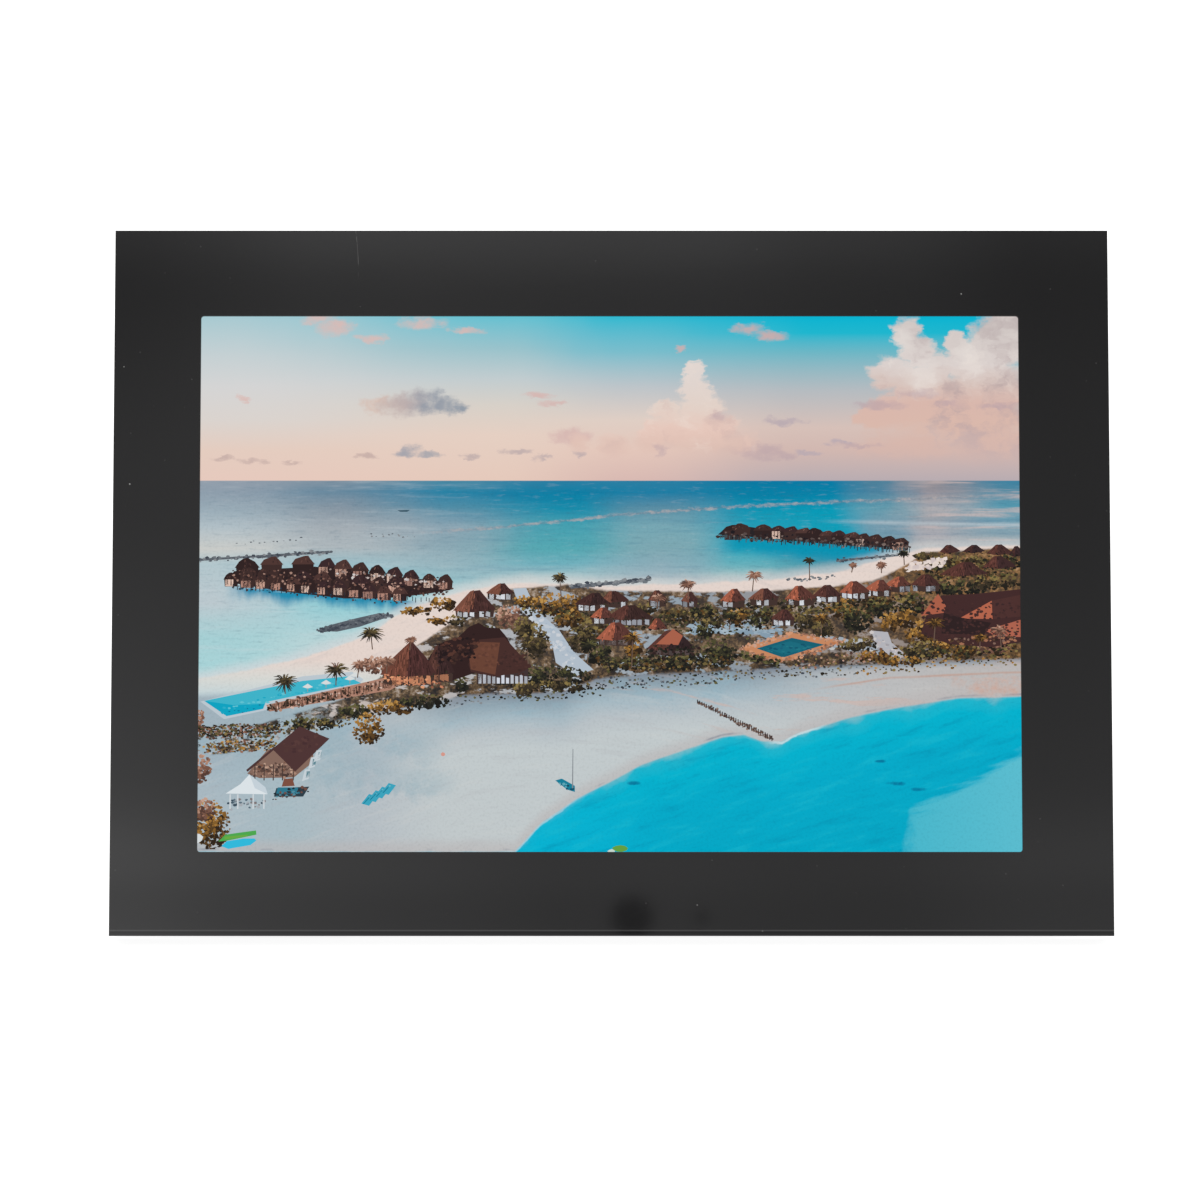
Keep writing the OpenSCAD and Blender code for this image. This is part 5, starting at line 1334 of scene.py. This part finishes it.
def draw_beach(d):
    """Paths, hut, tent, cart, seats, boat and the row of posts."""
    d.shape([
        (82, 68.8), (85.4, 69), (88.2, 63.2), (94, 58), (98, 52), (103, 47.6), (98.4, 45.8), (93.2, 49.4),
        (92.2, 54.6), (87.6, 60.2), (84, 63)
    ], (176, 188, 200), 2)
    strew(d, (86, 64), (98, 48), 130, 2.6, 0.5, [(202, 206, 212), (168, 182, 196), (190, 198, 206)], 2)
    d.shape(
        [(175.6, 57.8), (180, 57.4), (181, 54.6), (185, 51.2), (182.6, 50.2), (178.6, 52.4), (176.6, 55)],
        (178, 178, 184), 2
    )
    strew(d, (176, 56), (183, 51), 30, 1.4, 0.45, [(204, 198, 196), (160, 158, 164), (186, 180, 182)], 2)
    strew(
        d, (185.4, 74.4), (195, 75.8), 70, 0.8, 0.6, [(222, 206, 198), (206, 192, 190), (228, 214, 206)], 3
    )
    # hut with a ridged roof and an open front
    d.shape([(12.8, 20.4), (16, 19.2), (25, 19.4), (30, 23.4), (30, 26), (18, 26.6)], (132, 104, 92), 4)
    strew(
        d, (14, 21), (25, 21.6), 90, 1.8, 0.42,
        [(168, 134, 116), (92, 70, 62), (66, 52, 50), (190, 158, 138), (120, 84, 68)], 4
    )
    for x in (14.8, 17.2, 19.6, 22, 24.8):
        d.stroke(x, 18.6, x, 22.8, 0.3, (74, 58, 54), 4, 1)
    d.shape([(19.3, 26.8), (26.4, 32.7), (34.2, 29.5), (25.3, 20.9)], (78, 52, 52), 5)
    d.stroke(12.7, 21.1, 20, 27.2, 0.6, (76, 52, 52), 5, 1)
    strew(d, (22, 27), (31, 29), 34, 1.8, 0.5, [(86, 58, 56), (70, 46, 48), (80, 54, 52)], 5)
    for x, y in ((28, 20), (29.6, 23.2), (31, 25)):
        d.shape(
            [(x - 0.9, y - 1.6), (x + 0.8, y - 1), (x + 1.2, y + 1.6), (x - 0.2, y + 1.4)], (196, 206, 212),
            5
        )
        d.shape(
            [(x + 0.1, y - 0.8), (x + 1, y - 0.4), (x + 1.2, y + 1), (x + 0.3, y + 1)], (88, 130, 142), 5
        )
    # white tent
    strew(
        d, (8, 12.6), (17.4, 12.8), 40, 1.2, 0.4,
        [(84, 104, 118), (130, 120, 120), (60, 78, 92), (164, 170, 176)], 4
    )
    for x in (8.4, 10.4, 14.4, 17.2):
        d.stroke(x, 15, x, 11.2, 0.34, (206, 212, 216), 5, 1)
    d.shape([(7.2, 15.2), (18.2, 15), (17.6, 16.8), (13.4, 20.2), (11, 17.6)], (218, 226, 230), 5)
    d.shape([(13.4, 20.2), (14.8, 16.6), (18.2, 15), (17.6, 16.8)], (196, 208, 216), 5)
    # cart
    d.shape([(19.8, 14.4), (27.4, 14.4), (29, 17), (20.4, 16.6)], (44, 62, 72), 5)
    d.shape([(20.4, 15.2), (26.6, 15.2), (26, 16.8), (20.8, 16.8)], (46, 116, 138), 5)
    d.shape([(21.8, 17), (25.2, 17.2), (24.6, 19.2), (22.4, 19)], (124, 78, 64), 5)
    strew(
        d, (19.8, 14.4), (28.4, 16.4), 34, 0.9, 0.36,
        [(30, 40, 48), (84, 140, 156), (52, 50, 54), (110, 76, 66)], 5
    )
    # long seats
    for i in range(4):
        x, y = 42.6 + i * 1.7, 12.6 + i * 0.95
        d.shape([(x, y), (x + 2.0, y - 0.6), (x + 3.9, y + 1.9), (x + 2.0, y + 2.5)], (58, 162, 188), 5)
        d.stroke(x + 0.5, y - 0.1, x + 2.4, y + 2.0, 0.24, (14, 118, 144), 5, 1)
        d.blob(x + 2.2, y + 1.7, 0.3, 0.24, (120, 188, 200), 5, 6)
    # small boat with a bare mast, a float, two boards and what lies at the picture's foot
    d.shape([(93.1, 18.6), (94.8, 19.1), (98.2, 17.2), (98.2, 15.6), (96.2, 16.2)], (20, 124, 150), 5)
    strew(d, (94, 18), (98, 16.4), 12, 0.3, 0.34, [(96, 168, 182), (12, 82, 110), (30, 60, 78)], 5)
    d.stroke(97.6, 16.6, 97.7, 26.8, 0.3, (128, 134, 140), 5, 0.6)
    d.blob(63.8, 25.4, 0.55, 0.6, (212, 150, 136), 4, 6, 0.2)
    d.shape([(5.4, 2.7), (7.2, 4.5), (10, 4.9), (15.2, 5.6), (15.3, 4.5), (8, 3.0)], (76, 166, 78), 5)
    d.stroke(7, 3.6, 13, 4.3, 0.7, (104, 168, 66), 5, 0.6)
    d.shape(
        [(6.2, 1.5), (7.6, 2.8), (12, 3.5), (14.8, 3.5), (15.3, 3.0), (13.8, 1.8), (8, 0.8)],
        (48, 184, 218), 5
    )
    d.blob(-0.2, 3.6, 1.6, 1.3, (214, 220, 222), 5, 8, 0.1)
    d.blob(110.0, 0.9, 2.0, 0.9, (100, 158, 66), 5, 9, 0.1)
    d.blob(107.8, 0.2, 1.0, 0.5, (196, 214, 206), 5, 8, 0.2)
    # posts that run down into the bay
    strew(
        d, (130.4, 39.0), (149.6, 29.4), 90, 0.35, 0.36, [(116, 92, 80), (82, 66, 62), (140, 118, 108)], 4
    )
    posts = 34
    for i in range(posts):
        f = i / (posts - 1)
        x, y = 130.2 + 19.4 * f, 39.0 - 9.8 * f
        d.stroke(x, y - 0.3, x, y + 0.7 + 0.4 * f, 0.26, rng.choice([(70, 56, 54), (56, 46, 46)]), 4, 1)


drawing = Drawing()
draw_far_water(drawing)
draw_pools(drawing)
draw_houses(drawing)
draw_growth(drawing)
draw_beach(drawing)
drawing.make()

# ------------------------------------------------------------------ camera, floor and light

FOCAL_MM = 119.8
SENSOR_MM = 36
DISTANCE = 1.0436
LOOK_DOWN = math.radians(13.5)
AIM_LEFT = 3.0
AIM_LOW = 5.0


def make_camera():
    """Long lens a little below the face's own normal, aimed just under the middle of the face."""
    data = bpy.data.cameras.new("camera")
    data.lens = FOCAL_MM
    data.sensor_width = SENSOR_MM
    camera = bpy.data.objects.new("camera", data)
    bpy.context.scene.collection.objects.link(camera)
    ahead = Vector((0, math.cos(LOOK_DOWN), -math.sin(LOOK_DOWN)))
    above = Vector((0, math.sin(LOOK_DOWN), math.cos(LOOK_DOWN)))
    target = at(0, 0, FACE_H / 2) - RIGHT * AIM_LEFT * MM - above * AIM_LOW * MM
    camera.location = target - ahead * DISTANCE
    camera.rotation_mode = "QUATERNION"
    camera.rotation_quaternion = ahead.to_track_quat("-Z", "Y")
    bpy.context.scene.camera = camera
    return camera


def make_floor():
    """Plain pale floor."""
    s = Surface("pale_floor", 0.9, Specular_IOR_Level=0.1)
    s.set("Base Color", s.plain((0.34, 0.34, 0.34, 1)).over(s.plain((0.31, 0.31, 0.31, 1)), s.noise(60, 3)))
    s.shader.inputs["Emission Color"].default_value = (1, 1, 1, 1)
    s.shader.inputs["Emission Strength"].default_value = 0.92
    half = 3.0
    corners = [(-half, -half, 0), (half, -half, 0), (half, half, 0), (-half, half, 0)]
    floor = flat_mesh("floor", corners, [(0, 1, 2, 3)], [s])


def make_sky_dome():
    """Even white light from all round, dimmer where the face mirrors it, and white to the camera."""
    world = bpy.data.worlds.new("studio")
    bpy.context.scene.world = world
    world.use_nodes = True
    tree = world.node_tree
    place = Value(tree, tree.nodes.new("ShaderNodeTexCoord").outputs["Generated"])
    split = tree.nodes.new("ShaderNodeSeparateXYZ")
    plug(tree, split.inputs[0], place)
    right, ahead, up = (Value(tree, split.outputs[i]) for i in range(3))
    height = up.math("ARCSINE") * (180 / math.pi)
    side = right.math("ARCTAN2", ahead * -1) * (180 / math.pi)
    low = side.ramp([
        (-40, 0.5), (-8, 0.7), (-6.8, 0.64), (-5.6, 0.5), (-4.2, 0.42), (-2.6, 0.36), (-0.6, 0.27),
        (1, 0.28), (3, 0.24), (4.6, 0.24), (6.4, 0.32), (40, 0.5)
    ])
    high = side.ramp([
        (-40, 0.4), (-7.4, 0.15), (-6.2, 0.22), (-4.6, 0.34), (-2.4, 0.33), (-0.4, 0.3), (1.8, 0.3),
        (3.4, 0.22), (5, 0.2), (6.8, 0.1), (40, 0.4)
    ])
    rising = height.step(17.7, 27.6)
    by_place = (low * rising.flipped()) + (high * rising)
    by_height = height.ramp([
        (-10, 0.7), (14, 0.55), (17.65, 0.56), (17.85, 0.42), (18.05, 0.42), (18.35, 0.54), (18.7, 0.68),
        (19, 0.55), (19.5, 0.42), (21, 0.38), (23.4, 0.36), (24.6, 0.44), (25.6, 0.43), (26.3, 0.38),
        (26.6, 0.3), (27.15, 0.42), (27.45, 0.64), (27.65, 0.82), (30, 0.9), (50, 1.0), (90, 1.0)
    ])
    front = (ahead * -1).step(0.5, 0.9)
    glow = (by_height * by_place * 4 * front) + (front.flipped() * 1.0)
    path = tree.nodes.new("ShaderNodeLightPath")
    seen = Value(tree, path.outputs["Is Camera Ray"])
    strength = seen + (seen.flipped() * glow)
    tree.nodes["Background"].inputs["Color"].default_value = (1, 1, 1, 1)
    plug(tree, tree.nodes["Background"].inputs["Strength"], strength)


def make_light(name, place, aim, size_m, watts):
    """Square soft light."""
    data = bpy.data.lights.new(name, "AREA")
    data.shape = "SQUARE"
    data.size = size_m
    data.energy = watts
    light = bpy.data.objects.new(name, data)
    light.location = place
    light.rotation_mode = "QUATERNION"
    light.rotation_quaternion = (Vector(aim) - Vector(place)).to_track_quat("-Z", "Y")
    bpy.context.scene.collection.objects.link(light)


def make_lens_mark(camera):
    """Two dark discs beside the viewpoint, seen only as soft marks mirrored in the face."""
    s = Surface("lens_black", 0.9, Specular_IOR_Level=0.0)
    s.set("Base Color", (0.0, 0.0, 0.0, 1))
    spin = camera.rotation_quaternion
    back = spin @ Vector((0, 0, 1))
    corners = 32
    for name, radius, aside in (("lens_mark", 11.0, 16.8), ("catch_mark", 3.4, 53.3)):
        middle = camera.location + back * 0.02 + RIGHT * aside * MM
        rim = [
            middle + spin @ Vector((math.cos(a) * radius * MM, math.sin(a) * radius * MM, 0))
            for a in (2 * math.pi * i / corners for i in range(corners))
        ]
        mark = flat_mesh(name, rim, [tuple(range(corners))], [s])
        mark.visible_camera = False
        mark.visible_shadow = False
        mark.visible_diffuse = False


camera = make_camera()
make_floor()
make_sky_dome()
make_light("key", (-1.0, -1.2, 1.8), (0, 0, 0.05), 1.2, 8)
make_light("rear", (0.8, 1.6, 1.5), (0, 0, 0.05), 1.2, 14)
make_lens_mark(camera)
bpy.context.scene.view_settings.view_transform = "Standard"
